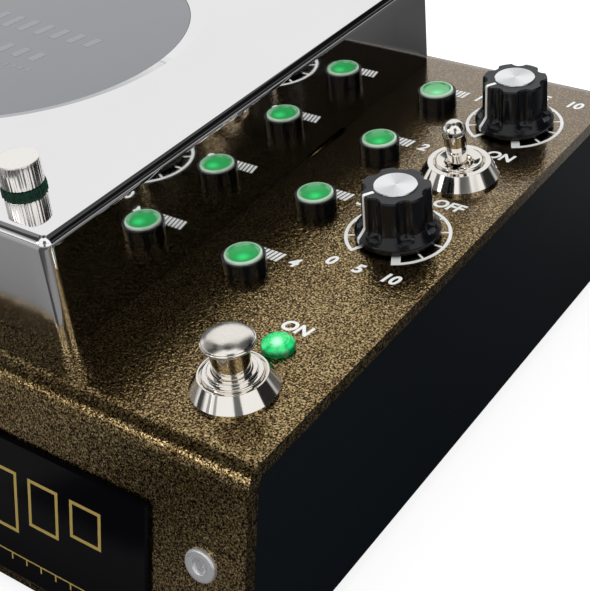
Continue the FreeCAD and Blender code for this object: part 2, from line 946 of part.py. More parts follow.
def bracket_at(angle):
    """One head bracket: an upright behind the head and a foot on the deck."""
    start = band_radius + head_gap + head_length
    half = bracket_width / 2
    low = panel_top + deck_sheet
    top = panel_top + head_bottom + head_height
    upright = box(start, start + bracket_sheet, -half, half, low, top)
    foot = box(start - bracket_foot, start, -half, half, low, low + bracket_sheet)
    return moved(spun(join([upright, foot]), angle), 0.0, drum_y)


def head_brackets():
    return group([bracket_at(angle) for angle in head_angles])


def tape_heads():
    """The erase head, the record head and the playback heads, all alike."""
    return group([head_at(angle) for angle in head_angles])


def button_collars():
    """Black collars in the panel that guide the button caps."""
    collars = []
    for x, y in all_button_places():
        sleeve = rod(collar_radius, collar_bottom, panel_top + collar_height, x, y)
        lip = rod(collar_radius + collar_lip, collar_bottom, panel_under, x, y)
        bore = rod(cap_bore, collar_bottom, panel_top + collar_height, x, y)
        collars.append(join([sleeve, lip]).cut(bore))
    return group(collars)


def button_cap(x, y):
    """A translucent cap with a dished top, a flange under the collar and a stem to its switch."""
    top = panel_top + cap_height
    dish = cap_radius - cap_rim_width
    flange_bottom = cap_flange_top - cap_flange_thickness
    return turned([
        (0, stem_end),
        (cap_stem_radius, stem_end),
        (cap_stem_radius, flange_bottom),
        (collar_radius, flange_bottom),
        (collar_radius, cap_flange_top),
        (cap_radius, cap_flange_top),
        (cap_radius, top - cap_dish),
        (cap_radius - cap_dish, top),
        (dish + cap_dish, top),
        (dish, top - cap_dish),
        (0, top - cap_dish * 2),
    ], x, y)


def button_switches():
    """The switch under each button, soldered to its board."""
    half = switch_body_size / 2
    return [box(x - half, x + half, y - half, y + half, side_board_top, switch_top)
            for x, y in all_button_places()]


def knob(x, y):
    """A skirted black knob, fluted, hollow beneath and bored for its shaft."""
    flare_end = knob_radius + knob_taper
    flare_top = knob_skirt_edge + knob_flare_height
    bow = 1 - math.sqrt(0.5)
    flare_middle = (
        flare_end + bow * (knob_skirt_radius - flare_end),
        knob_skirt_edge + bow * knob_flare_height,
    )
    edge_drop = bow * knob_edge
    body = turned([
        (0, knob_lift),
        (knob_skirt_radius, knob_lift),
        (knob_skirt_radius, knob_skirt_edge),
        flare_middle + (flare_end, flare_top),
        (knob_radius, knob_height - knob_edge),
        (knob_radius - edge_drop, knob_height - edge_drop, knob_radius - knob_edge, knob_height),
        (0, knob_height),
    ])
    half_step = 180.0 / knob_flute_count
    angles = [knob_pointer_angle + half_step + angle for angle in even_angles(knob_flute_count)]
    flute_circle = knob_radius - knob_flute_depth + knob_flute_radius
    places = ring_places(flute_circle, angles)
    flutes = [rod(knob_flute_radius, knob_flute_start, knob_height + cut_over, *place) for place in places]
    hollow = rod(knob_recess_radius, knob_lift, knob_recess_top)
    bore = rod(shaft_radius, knob_lift, shaft_reach)
    seat = rod(insert_radius, knob_height - insert_depth, knob_height)
    return moved(drill(body, flutes + [hollow, bore, seat]), x, y, panel_top)


def knob_insert(x, y):
    """The turned aluminium disc in the knob's top."""
    low = knob_height - insert_depth
    high = knob_height + insert_proud
    bevel = insert_proud / 3
    disc = turned([
        (0, low),
        (insert_radius, low),
        (insert_radius, high - bevel),
        (insert_radius - bevel, high),
        (0, high),
    ])
    return moved(disc, x, y, panel_top)


def pot_shaft(x, y):
    """The shaft that the knob is pressed on."""
    return rod(shaft_radius, pot_shaft_end, panel_top + shaft_reach, x, y)


def potentiometers():
    """The round body and the threaded bushing of each potentiometer."""
    mouth = panel_top + pot_bushing_height
    pots = []
    for x, y in knob_places():
        body = rod(pot_radius, pot_top - pot_height, pot_top, x, y)
        bushing = rod(pot_bushing_radius, pot_top, mouth, x, y)
        bore = rod(shaft_radius + running_gap, pot_shaft_end - moving_gap, mouth, x, y)
        pots.append(join([body, bushing]).cut(bore))
    return group(pots)


def cone_nut(foot, top, bore, x, y):
    """A conical dress nut with a short straight foot and a flat top."""
    return turned([
        (bore, panel_top),
        (foot, panel_top),
        (foot, panel_top + dress_nut_base_edge),
        (top, panel_top + dress_nut_height),
        (bore, panel_top + dress_nut_height),
    ], x, y)


def dress_nuts():
    """The bright nuts of the two footswitches and of the toggle switch."""
    bore = bushing_radius + running_gap
    toggle_bore = toggle_bushing_radius + running_gap
    nuts = [cone_nut(dress_nut_foot, dress_nut_top, bore, x, y) for x, y in footswitch_places()]
    nuts.append(cone_nut(toggle_nut_foot, toggle_nut_top, toggle_bore, *toggle_place()))
    return group(nuts)


def footswitch_bodies():
    """The box under the panel and the threaded bushing of each footswitch."""
    half = footswitch_box / 2
    top = panel_under - fixed_gap
    mouth = panel_top + bushing_height
    lip = mouth + bushing_lip_height
    bevel = bushing_bevel
    bodies = []
    for x, y in footswitch_places():
        case = box(x - half, x + half, y - half, y + half, top - footswitch_box_height, top)
        bushing = turned([
            (0, top),
            (bushing_radius, top),
            (bushing_radius, mouth - bevel),
            (bushing_radius - bevel, mouth),
            (bushing_lip_radius, mouth),
            (bushing_lip_radius, lip - bevel),
            (bushing_lip_radius - bevel, lip),
            (0, lip),
        ], x, y)
        bore = rod(neck_radius + slide_gap, top - footswitch_box_height / 2, lip, x, y)
        bodies.append(join([case, bushing]).cut(bore))
    return group(bodies)


def footswitch_button(x, y):
    """The footswitch's plunger with its bell-shaped head."""
    end = panel_under - fixed_gap - footswitch_box_height / 2 + footswitch_travel + moving_gap - panel_top
    rim_top = dome_rim + dome_rim_thickness
    crown_foot = dome_top - dome_crown_rise
    flank_middle = (
        dome_crown_radius + dome_flank_share * (dome_radius - dome_crown_radius),
        rim_top + dome_flank_hollow * (crown_foot - rim_top),
    )
    ball_radius = (dome_crown_radius ** 2 + dome_crown_rise ** 2) / (2 * dome_crown_rise)
    half_turn = math.asin(dome_crown_radius / ball_radius) / 2
    crown_middle = (ball_radius * math.sin(half_turn), dome_top - ball_radius * (1 - math.cos(half_turn)))
    plunger = turned([
        (0, end),
        (neck_radius, end),
        (neck_radius, dome_underside),
        (dome_radius - dome_rim_thickness / 2, dome_rim),
        (dome_radius, dome_rim + dome_rim_thickness / 2, dome_radius - dome_rim_thickness / 2, rim_top),
        flank_middle + (dome_crown_radius, crown_foot),
        crown_middle + (0, dome_top),
    ])
    return moved(plunger, x, y, panel_top)


def pin_through(radius, half_length, centre):
    """A pin from left to right through a point."""
    start = centre - FreeCAD.Vector(half_length, 0, 0)
    return Part.makeCylinder(radius, 2 * half_length, start, FreeCAD.Vector(1, 0, 0))


def toggle_body():
    """The toggle switch's box and its threaded bushing, which opens upwards as a funnel."""
    x, y = toggle_place()
    half_x = toggle_box_width / 2
    half_y = toggle_box_length / 2
    top = panel_under - fixed_gap
    mouth = panel_top + toggle_bushing_height
    case = box(x - half_x, x + half_x, y - half_y, y + half_y, top - toggle_box_height, top)
    crest = toggle_bushing_radius - toggle_mouth_radius
    bore = toggle_ball_radius + slide_gap
    bushing = turned([
        (0, top),
        (toggle_bushing_radius, top),
        (toggle_bushing_radius, mouth - crest / 2),
        (toggle_bushing_radius - crest / 2, mouth, toggle_mouth_radius, mouth - crest / 2),
        (bore, mouth - toggle_funnel_depth),
        (0, mouth - toggle_funnel_depth),
    ], x, y)
    room = rod(bore, top - toggle_box_height / 2, mouth, x, y)
    pivot = FreeCAD.Vector(x, y, panel_top + toggle_pivot_height)
    pin_room = pin_through(lever_pin_radius + running_gap, lever_pin_half_length + slide_gap, pivot)
    return join([case, bushing]).cut(join([room, pin_room]))


def toggle_lever():
    """The bat-shaped lever on its ball, which turns on a cross pin and leans to the front at rest."""
    x, y = toggle_place()
    pivot = FreeCAD.Vector(x, y, panel_top + toggle_pivot_height)
    ball = Part.makeSphere(toggle_ball_radius, pivot)
    tip = lever_length - lever_tip_radius
    bat = turned([
        (0, 0),
        (lever_root_radius, 0),
        (lever_shoulder_radius, lever_shoulder),
        (lever_neck_radius, lever_shoulder + lever_shoulder_radius - lever_neck_radius),
        (lever_neck_radius, tip),
        (0, tip),
    ], x, y, pivot.z)
    end = Part.makeSphere(lever_tip_radius, pivot + FreeCAD.Vector(0, 0, tip))
    tail = rod(lever_tail_radius, pivot.z - lever_tail, pivot.z, x, y)
    pin = pin_through(lever_pin_radius, lever_pin_half_length, pivot)
    lever = join([ball, bat, end, tail, pin])
    lever.rotate(pivot, FreeCAD.Vector(1, 0, 0), toggle_lean)
    return lever


def status_lamps():
    """The jewelled lamps: a low dome on the panel and a stem through it."""
    low = panel_under - lamp_stem_length
    return group([turned([
        (0, low),
        (lamp_stem_radius, low),
        (lamp_stem_radius, panel_top),
        (lamp_radius, panel_top),
        (lamp_radius, panel_top + lamp_edge),
        (lamp_shoulder, panel_top + lamp_shoulder_height),
        (0, panel_top + lamp_height),
    ], x, y) for x, y in lamp_places()])


def phone_sockets():
    """Three jack sockets: a body inside the back and a bored bushing through it."""
    bore_radius = plug_radius + plug_gap
    face = rear_y - shell_sheet - fixed_gap
    mouth = rear_y + socket_bushing_reach
    half = socket_body / 2
    sockets = []
    for x in socket_places:
        body = box(x - half, x + half, face - socket_body_depth, face, socket_z - half, socket_z + half)
        bushing = rod_back(socket_bushing_radius, face, mouth, x, socket_z)
        bore = rod_back(bore_radius, mouth - socket_bore_depth, mouth, x, socket_z)
        sockets.append(join([body, bushing]).cut(bore))
    return group(sockets)


def hex_nut(flats, thickness, radius):
    """A hexagon nut that stands on Z = 0, with a plain bore for a bushing."""
    return hexagon(flats, 0, thickness).cut(rod(radius + running_gap, 0, thickness))


def hex_nuts():
    """The hexagon nuts of the jack sockets, and those of the potentiometers under the knobs."""
    nuts = []
    for x in socket_places:
        nut = hex_nut(socket_nut_flats, socket_nut_thickness, socket_bushing_radius)
        nut.rotate(FreeCAD.Vector(0, 0, 0), FreeCAD.Vector(1, 0, 0), -90)
        nuts.append(moved(nut, x, rear_y, socket_z))
    for x, y in knob_places():
        nuts.append(moved(hex_nut(pot_nut_flats, pot_nut_thickness, pot_bushing_radius), x, y, panel_top))
    return group(nuts)


def power_inlet():
    """The barrel inlet for the power supply, with its centre pin."""
    mouth = rear_y + power_flange_thickness
    body = rod_back(power_body_radius, mouth - power_body_depth, rear_y, power_place, socket_z)
    flange = rod_back(power_flange_radius, rear_y, mouth, power_place, socket_z)
    bottom = mouth - power_bore_depth
    bore = rod_back(power_bore_radius, bottom, mouth, power_place, socket_z)
    pin = rod_back(power_pin_radius, bottom, bottom + power_pin_length, power_place, socket_z)
    return join([body, flange]).cut(bore).fuse(pin).removeSplitter()


def main_board():
    """The main circuit board, with its chips and capacitors standing on it."""
    low = case_floor + tray_sheet + main_board_lift
    top = low + board_thickness
    half_x = case_width / 2 - main_board_side
    half_y = main_board_depth / 2
    solids = [box(-half_x, half_x, drum_y - half_y, drum_y + half_y, low, top)]
    length, width, height = chip_size
    chip_y = drum_y + chip_row
    capacitor_y = drum_y + capacitor_row
    for i in range(chip_count):
        x = chip_inset - half_x + i * chip_pitch
        solids.append(box(x, x + length, chip_y, chip_y + width, top, top + height))
    for i in range(capacitor_count):
        x = half_x - capacitor_inset - i * capacitor_pitch
        solids.append(rod(capacitor_radius, top, top + capacitor_height, x, capacitor_y))
    return group(solids)


def side_boards():
    """The boards under the two control columns, with the button switches on them."""
    low = side_board_top - board_thickness
    span = (low, side_board_top)
    rear = rear_y - side_board_back
    front = last_button_y - side_board_front
    x, y = toggle_place()
    half_x = toggle_box_width / 2 + board_gap
    half_y = toggle_box_length / 2 + board_gap
    cuts = [box(x - half_x, x + half_x, y - half_y, y + half_y, *span)]
    cuts += [rod(pot_radius + board_gap, *span, x, y) for x, y in knob_places()]
    left = box(-side_board_outer, -side_board_inner, front, rear, *span)
    right = box(side_board_inner, side_board_outer, front, rear, *span)
    return group([drill(board, cuts) for board in (left, right)] + button_switches())


def board_spacers():
    """Spacers from the tray to the main board, and from the panel to the side boards."""
    half_x = case_width / 2 - main_board_side - board_spacer_inset
    half_y = main_board_depth / 2 - board_spacer_inset
    low = case_floor + tray_sheet
    places = [(sx * half_x, drum_y + sy * half_y) for sx in (-1, 1) for sy in (-1, 1)]
    spacers = [rod(board_spacer_radius, low, low + main_board_lift, x, y) for x, y in places]
    inner_x = side_board_inner + board_spacer_inset
    rear = rear_y - side_board_back - board_spacer_inset
    front = last_button_y - side_board_front + board_spacer_inset
    for x, y in mirrored_places(inner_x, rear) + mirrored_places(inner_x, front):
        spacers.append(rod(board_spacer_radius, side_board_top, panel_under, x, y))
    return group(spacers)


def build_parts():
    """Every sub-part by name."""
    parts = {
        "top_shell": top_shell(),
        "rear_panel": rear_panel(),
        "base_tray": base_tray(),
        "case_screws": case_screws(),
        "rubber_feet": rubber_feet(),
        "name_plate": name_plate(),
        "bright_cover": bright_cover(),
        "window_disc": window_disc(),
        "thumb_washers": thumb_washers(),
        "cover_posts": cover_posts(),
        "deck_plate": deck_plate(),
        "deck_screws": deck_screws(),
        "bearing_housing": bearing_housing(),
        "spindle_bearings": spindle_bearings(),
        "drum_spindle": drum_spindle(),
        "memory_drum": memory_drum(),
        "magnetic_band": magnetic_band(),
        "drive_motor": drive_motor(),
        "motor_shaft": motor_shaft(),
        "drive_wheel": drive_wheel(),
        "drive_tyre": drive_tyre(),
        "tape_heads": tape_heads(),
        "head_brackets": head_brackets(),
        "button_collars": button_collars(),
        "potentiometers": potentiometers(),
        "dress_nuts": dress_nuts(),
        "footswitch_bodies": footswitch_bodies(),
        "toggle_body": toggle_body(),
        "toggle_lever": toggle_lever(),
        "status_lamps": status_lamps(),
        "phone_sockets": phone_sockets(),
        "hex_nuts": hex_nuts(),
        "power_inlet": power_inlet(),
        "main_board": main_board(),
        "side_boards": side_boards(),
        "board_spacers": board_spacers(),
    }
    for name, place in zip(("left", "right"), post_places()):
        parts["thumbscrew_" + name] = thumbscrew(*place)
    for name, place in zip(("left", "right"), footswitch_places()):
        parts["footswitch_button_" + name] = footswitch_button(*place)
    for column, side in (("feedback", -1), ("playback", 1)):
        for i, place in enumerate(button_places(side)):
            parts[column + "_button_" + str(i + 1)] = button_cap(*place)
    for name, place in zip(("input_level", "echo_level", "feedback", "tone"), knob_places()):
        parts[name + "_knob"] = knob(*place)
        parts[name + "_insert"] = knob_insert(*place)
        parts[name + "_shaft"] = pot_shaft(*place)
    return parts


os.makedirs("parts", exist_ok=True)
for part_name, part_shape in build_parts().items():
    part_shape.exportStep("parts/" + part_name + ".step")
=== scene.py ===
import json
import math

import bmesh
import bpy
import numpy as np
from mathutils import Matrix, Vector


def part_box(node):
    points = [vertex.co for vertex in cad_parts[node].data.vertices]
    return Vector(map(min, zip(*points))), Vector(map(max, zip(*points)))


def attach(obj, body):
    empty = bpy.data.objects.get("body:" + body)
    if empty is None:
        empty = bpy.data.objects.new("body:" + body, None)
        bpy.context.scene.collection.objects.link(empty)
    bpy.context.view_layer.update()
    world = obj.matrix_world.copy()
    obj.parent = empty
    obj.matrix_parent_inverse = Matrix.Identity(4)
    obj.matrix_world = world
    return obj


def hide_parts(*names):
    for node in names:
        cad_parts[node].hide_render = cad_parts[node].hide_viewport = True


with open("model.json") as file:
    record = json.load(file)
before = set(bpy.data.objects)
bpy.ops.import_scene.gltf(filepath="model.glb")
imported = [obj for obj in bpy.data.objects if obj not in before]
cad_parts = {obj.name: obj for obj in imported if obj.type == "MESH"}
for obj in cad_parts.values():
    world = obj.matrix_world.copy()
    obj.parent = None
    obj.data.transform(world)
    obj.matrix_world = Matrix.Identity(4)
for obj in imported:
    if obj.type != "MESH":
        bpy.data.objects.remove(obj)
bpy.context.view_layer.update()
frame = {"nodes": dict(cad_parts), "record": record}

# The looks of a floor-standing echo unit. Shapes are worked out in millimetres in the CAD frame and
# become metres when their mesh is made. Shapes that the CAD model already has right keep its mesh.

metre = 1000.0
print_sink = 0.02
print_lift = 0.01


def node_box(name):
    """Lowest and highest corner of a CAD node, in millimetres."""
    low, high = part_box(name)
    return np.array(low) * metre, np.array(high) * metre


def node_centre(name):
    """Where the middle of a CAD node is, seen from above."""
    low, high = node_box(name)
    return (low[0] + high[0]) / 2, (low[1] + high[1]) / 2


# Case
shell_low, shell_high = node_box("top_shell")
panel_top = shell_high[2]
rear_y = shell_high[1]
case_width = shell_high[0] - shell_low[0]
panel_depth = 155.5
bend_y = rear_y - panel_depth
face_slope = math.radians(13.8)
screw_inset = 10.0
screw_drop = 23.8
plate_side = 22.6
plate_drop = 15.7
plate_height = 33.4
plate_thickness = 1.2

# Cover
cover_low, cover_high = node_box("bright_cover")
cover_half = cover_high[0]
cover_front_y = cover_low[1]
cover_rear_y = cover_high[1]
cover_front_height = 26.3
cover_back_height = 24.8
cover_foot = panel_top + 0.05
cover_sheet = 1.5
cover_bend = 2.5
cover_fall = (cover_front_height - cover_back_height) / (cover_rear_y - cover_front_y)
tab_length = 14.4
tab_back = 53.8
tab_drop = 5.85
window_radius = 43.0
window_y = rear_y - 79.9
rim_crest = 47.5
rim_foot = 54.5
rim_height = 1.5

# Controls
control_x = case_width / 2 - 16.2
button_x = case_width / 2 - 38.1
first_button_back = 25.7
button_pitch = 26.8
lamp_y = bend_y + 31.1
footswitch_y = bend_y + 17.2
toggle_y = rear_y - 53.2
thumb_x = cover_half - 17.7
thumb_y = cover_front_y + 12.85
thumb_reach = 4.8
washer_thickness = 1.1
under_panel = panel_top - 3.2
button_count = 4
cap_radius = 4.15
cap_height = 4.25
dish_radius = 3.1
collar_bore = 4.25
collar_radius = 4.8
collar_height = 3.8
collar_lip = 5.6
nut_height = 4.0
nut_foot_height = 0.75
bushing_radius = 6.0
neck_radius = 3.85
lamp_radius = 3.55
lamp_ring_pitch = 0.62

# Knobs
dials = ("feedback", "tone", "input_level", "echo_level")
rear_dial_y = node_centre("feedback_knob")[1]
front_dial_y = node_centre("tone_knob")[1]
knob_pointer = math.radians(-122.0)
knob_lift = 0.5
knob_height = 12.3
knob_edge = 0.45
knob_well_radius = 6.3
knob_well_height = 3.6
knob_seat_radius = 4.8
knob_seat_depth = 0.9
skirt_radius = 9.4
skirt_edge = 1.9
flare_height = 2.2
flare_radius = 7.75
knob_top_radius = 7.6
flute_count = 7
flute_circle = 8.6
flute_radius = 2.1
arch_top = 4.5
arch_reach = 1.7

# Prints
print_width = 0.75
caption_height = 2.9
ring_radius = 11.3


def cover_top(y):
    """Height of the cover's top at a place along Y."""
    return panel_top + cover_front_height - cover_fall * (y - cover_front_y)


def button_rows():
    """Where the rows of buttons are along Y, from the rear."""
    return [rear_y - first_button_back - i * button_pitch for i in range(button_count)]


def both_sides(x, y):
    """A place on the left and the same on the right."""
    return [(-x, y), (x, y)]


# Shapes. Each is its points, its faces and a place on the texture map for each point.


def grid(points):
    """Four-sided faces over a grid of points, rows by columns. u runs along the columns and v
    along the rows, both from 0 to 1."""
    rows, columns = points.shape[:2]
    index = np.arange(rows * columns).reshape(rows, columns)
    faces = np.stack([index[:-1, :-1], index[:-1, 1:], index[1:, 1:], index[1:, :-1]], axis=-1)
    u, v = np.meshgrid(np.linspace(0, 1, columns), np.linspace(0, 1, rows))
    return points.reshape(-1, 3), faces.reshape(-1, 4), np.stack([u, v], axis=-1).reshape(-1, 2)


def merged(shapes):
    """Several shapes as one."""
    starts = np.cumsum([0] + [len(points) for points, faces, uv in shapes[:-1]])
    points = np.concatenate([shape[0] for shape in shapes])
    faces = np.concatenate([shape[1] + start for shape, start in zip(shapes, starts)])
    return points, faces, np.concatenate([shape[2] for shape in shapes])


def rounded(corners, closed=False):
    """A profile through corners, each (radius, height, rounding). A rounded corner becomes an arc of
    that radius between its tangent points, with one more point a hair outside each of them, so that
    the flat stretches beside it keep their flat shading."""
    hair = 0.03
    steps = 6
    count = len(corners)
    line = []
    for i, (r, z, rounding) in enumerate(corners):
        here = np.array([r, z], float)
        inner = closed or 0 < i < count - 1
        if rounding == 0 or not inner:
            line.append(here)
            continue
        before = np.array(corners[i - 1][:2], float) - here
        after = np.array(corners[(i + 1) % count][:2], float) - here
        before /= np.linalg.norm(before)
        after /= np.linalg.norm(after)
        half = math.acos(np.clip(before @ after, -1, 1)) / 2
        reach = rounding / math.tan(half)
        middle = (before + after) / np.linalg.norm(before + after)
        centre = here + middle * rounding / math.sin(half)
        start = here + before * reach - centre
        end = here + after * reach - centre
        turn = math.pi - 2 * half
        line.append(here + before * (reach + hair))
        for t in np.linspace(0, 1, steps + 1):
            swept = math.sin((1 - t) * turn) * start + math.sin(t * turn) * end
            line.append(centre + swept / math.sin(turn))
        line.append(here + after * (reach + hair))
    if closed:
        line.append(line[0])
    return np.array(line)


def turned(profile, steps=72, x=0.0, y=0.0, z=0.0):
    """A profile of (radius, height) turned about an upright axis: each point goes to
    (radius times cosine, radius times sine, height) of every angle."""
    angle = np.linspace(0, 2 * np.pi, steps + 1)
    radius, height = np.asarray(profile, float).T
    return around(rings(radius, angle), z + height, angle, x, y)


def rings(radii, angle):
    """For each radius, a row of it that is as long as the row of angles. Heights work the same."""
    return np.asarray(radii, float)[:, None] + 0 * angle


def around(radius, height, angle, x=0.0, y=0.0):
    """Rows of radii about an upright axis, one row for each height and one column for each angle."""
    height = rings(height, angle)
    return grid(np.stack([x + radius * np.cos(angle), y + radius * np.sin(angle), height], axis=-1))


def block(low, high, edge=0.3):
    """A block between two corners with bevelled edges: rows of one rounded outline, drawn in at both
    ends. The insets say how far each row is drawn in, and the last of them closes the end."""
    low = np.asarray(low, float)
    high = np.asarray(high, float)
    half = (high - low) / 2
    middle = (high + low) / 2
    whole = max(half[0], half[1])
    insets = np.array([whole, edge, 0.0, 0.0, edge, whole])
    heights = np.array([low[2], low[2], low[2] + edge, high[2] - edge, high[2], high[2]])
    angle = np.repeat([math.pi / 4, 3 * math.pi / 4, 5 * math.pi / 4, 7 * math.pi / 4], 2)
    lean = np.tile([-1.0, 1.0], 4) * math.pi / 4
    corner_x = np.sign(np.cos(angle))
    corner_y = np.sign(np.sin(angle))
    out_x = np.cos(angle + lean)
    out_y = np.sin(angle + lean)
    reach_x = np.maximum(half[0] - edge - np.maximum(insets - edge, 0)[:, None], 0)
    reach_y = np.maximum(half[1] - edge - np.maximum(insets - edge, 0)[:, None], 0)
    grow = np.maximum(edge - insets, 0)[:, None]
    px = middle[0] + corner_x * reach_x + out_x * grow
    py = middle[1] + corner_y * reach_y + out_y * grow
    points = np.stack([px, py, np.repeat(heights[:, None], 8, axis=1)], axis=-1)
    return grid(np.concatenate([points, points[:, :1]], axis=1))


def ribbon(path, up, width, closed=False, thickness=0.05):
    """A flat strip along a path on a surface. Its sides are the path moved by half the width square
    to the path and to the surface's normal, with mitred corners, and it stands out by its thickness."""
    path = np.asarray(path, float)
    up = np.broadcast_to(np.asarray(up, float), path.shape)
    if closed:
        ahead = np.roll(path, -1, axis=0) - path
        behind = path - np.roll(path, 1, axis=0)
    else:
        ahead = np.diff(path, axis=0, append=(2 * path[-1] - path[-2])[None])
        behind = np.diff(path, axis=0, prepend=(2 * path[0] - path[1])[None])
    ahead = ahead / np.linalg.norm(ahead, axis=1)[:, None]
    behind = behind / np.linalg.norm(behind, axis=1)[:, None]
    along = ahead + behind
    along /= np.linalg.norm(along, axis=1)[:, None]
    stretch = 1 / np.maximum((along * ahead).sum(axis=1), 0.3)[:, None]
    side = np.cross(up, along)
    side /= np.linalg.norm(side, axis=1)[:, None]
    side = side * stretch * width / 2
    rise = up * thickness
    sink = -up * print_sink
    outline = [path - side + sink, path - side + rise, path + side + rise, path + side + sink]
    points = np.stack(outline + outline[:1], axis=1)
    if closed:
        return grid(np.concatenate([points, points[:1]]))
    ends = [points[:1] * 0 + path[0] + sink[0], points, points[:1] * 0 + path[-1] + sink[-1]]
    return grid(np.concatenate(ends))


def laid_flat(shape, x, y, reach):
    """A shape with a UV map laid flat over it: u and v are 0 to 1 across the given reach about (x, y)."""
    points, faces, uv = shape
    return points, faces, (points[:, :2] - np.array([x, y])) / (2 * reach) + 0.5


def piece(name, shape, body, replaces=(), slot=None, sharp=32.0, material=None):
    """One finished piece: the shape's mesh with its doubles merged and its faces outwards. It rides on
    a body and stands for the CAD nodes that it replaces. Without a material of its own it has the
    finish of its material slot. Edges sharper than the given angle in degrees keep their crease."""
    points, faces, uv = shape
    mesh = bpy.data.meshes.new(name)
    mesh.from_pydata((points / metre).tolist(), [], faces.tolist())
    layer = mesh.uv_layers.new(name="UVMap")
    layer.data.foreach_set("uv", uv[faces.reshape(-1)].reshape(-1).astype(np.float32))
    work = bmesh.new()
    work.from_mesh(mesh)
    bmesh.ops.remove_doubles(work, verts=work.verts, dist=2e-6)
    bmesh.ops.dissolve_degenerate(work, edges=work.edges, dist=1e-7)
    bmesh.ops.recalc_face_normals(work, faces=work.faces)
    work.to_mesh(mesh)
    work.free()
    mesh.shade_smooth()
    mesh.set_sharp_from_angle(angle=math.radians(sharp))
    mesh.materials.append(material or finish[slot])
    made = placed(name, mesh)
    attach(made, body)
    if replaces:
        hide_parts(*replaces)
    return made


def placed(name, data):
    """A new object in the scene, at the origin."""
    made = bpy.data.objects.new(name, data)
    bpy.context.scene.collection.objects.link(made)
    return made


# Shader helpers


def put(tree, socket, value):
    """Link a socket to another, or set its value."""
    if isinstance(value, bpy.types.NodeSocket):
        tree.links.new(value, socket)
    elif hasattr(socket.default_value, "__len__") and hasattr(value, "__len__") and len(value) == 3:
        socket.default_value = (*value, 1.0) if len(socket.default_value) == 4 else value
    else:
        socket.default_value = value


def add(tree, kind, inputs=None, **settings):
    """A new node with its settings, and its inputs set or linked."""
    node = tree.nodes.new(kind)
    for name, value in settings.items():
        setattr(node, name, value)
    for name, value in (inputs or {}).items():
        put(tree, node.inputs[name], value)
    return node


def maths(tree, operation, *values):
    node = add(tree, "ShaderNodeMath", operation=operation)
    for socket, value in zip(node.inputs, values):
        put(tree, socket, value)
    return node.outputs[0]


def times(tree, first, second):
    return maths(tree, "MULTIPLY", first, second)


def step_between(tree, value, low, high, start=0.0, end=1.0):
    """A smooth step from start to end as the value goes from low to high."""
    node = add(tree, "ShaderNodeMapRange", interpolation_type="SMOOTHSTEP")
    for socket, setting in zip(node.inputs, (value, low, high, start, end)):
        put(tree, socket, setting)
    return node.outputs[0]


def blend(tree, factor, first, second):
    """A colour between two colours."""
    node = add(tree, "ShaderNodeMix", data_type="RGBA")
    put(tree, node.inputs[0], factor)
    put(tree, node.inputs[6], first)
    put(tree, node.inputs[7], second)
    return node.outputs[2]


def places(tree):
    """The object's own coordinates, in metres."""
    return add(tree, "ShaderNodeTexCoord").outputs["Object"]


def parts_of(tree, vector):
    """The X, Y and Z of a vector."""
    return add(tree, "ShaderNodeSeparateXYZ", {"Vector": vector}).outputs


def facing(tree):
    """The X, Y and Z of the way that the surface faces."""
    return parts_of(tree, add(tree, "ShaderNodeNewGeometry").outputs["Normal"])


def stretched(tree, vector, *scale):
    """A vector multiplied along each axis, so that a pattern on it is drawn out."""
    return add(tree, "ShaderNodeMapping", {"Vector": vector, "Scale": scale}).outputs["Vector"]


def noise(tree, scale, detail=2.0, roughness=0.5, vector=None, distortion=0.0):
    """Cloudy noise, about one blotch in 1/scale metres."""
    return add(tree, "ShaderNodeTexNoise", {
        "Vector": vector or places(tree),
        "Scale": scale,
        "Detail": detail,
        "Roughness": roughness,
        "Distortion": distortion,
    }).outputs["Fac"]


def bump(tree, height, strength, distance):
    node = add(tree, "ShaderNodeBump", {"Strength": strength, "Distance": distance, "Height": height})
    return node.outputs["Normal"]


def material(name, **surface):
    """A material with its Principled shader's own sockets set."""
    made = bpy.data.materials.new(name)
    made.use_nodes = True
    shader = made.node_tree.nodes["Principled BSDF"]
    for socket, value in surface.items():
        put(made.node_tree, shader.inputs[socket.replace("_", " ")], value)
    return made, made.node_tree, shader


def handling_group():
    """Faint smudges and fine dust shared by the hard finishes. Smudge is cloudy noise over about
    the given size, and Grain is fine noise over about its own."""
    group = bpy.data.node_groups.new("handling", "ShaderNodeTree")
    for name in ("Smudge Scale", "Grain Scale", "Low", "High"):
        group.interface.new_socket(name, in_out="INPUT", socket_type="NodeSocketFloat")
    for name in ("Roughness", "Smudge", "Grain"):
        group.interface.new_socket(name, in_out="OUTPUT", socket_type="NodeSocketFloat")
    given = add(group, "NodeGroupInput").outputs
    smudge = noise(group, given["Smudge Scale"], 4.0, 0.6)
    grain = noise(group, given["Grain Scale"], 2.0, 0.6)
    mixed = maths(group, "ADD", times(group, smudge, 0.7), times(group, grain, 0.3))
    rough = step_between(group, mixed, 0.35, 0.65, given["Low"], given["High"])
    add(group, "NodeGroupOutput", {"Roughness": rough, "Smudge": smudge, "Grain": grain})
    return group


handling = handling_group()


def handled(tree, smudge_scale, grain_scale, low, high):
    """The handling group placed in a material: roughness between low and high, and its masks."""
    values = {"Smudge Scale": smudge_scale, "Grain Scale": grain_scale, "Low": low, "High": high}
    return add(tree, "ShaderNodeGroup", values, node_tree=handling).outputs


def handled_finish(name, feel, first, second, grain=None, **surface):
    """A finish whose colour drifts between two with its smudges. feel holds the sizes of the smudges
    and the grain and the roughness limits, and grain the strength and depth of the grain's relief."""
    made, tree, shader = material(name, **surface)
    marks = handled(tree, *feel)
    put(tree, shader.inputs["Base Color"], blend(tree, marks["Smudge"], first, second))
    put(tree, shader.inputs["Roughness"], marks["Roughness"])
    if grain:
        put(tree, shader.inputs["Normal"], bump(tree, marks["Grain"], *grain))
    return made


# Materials


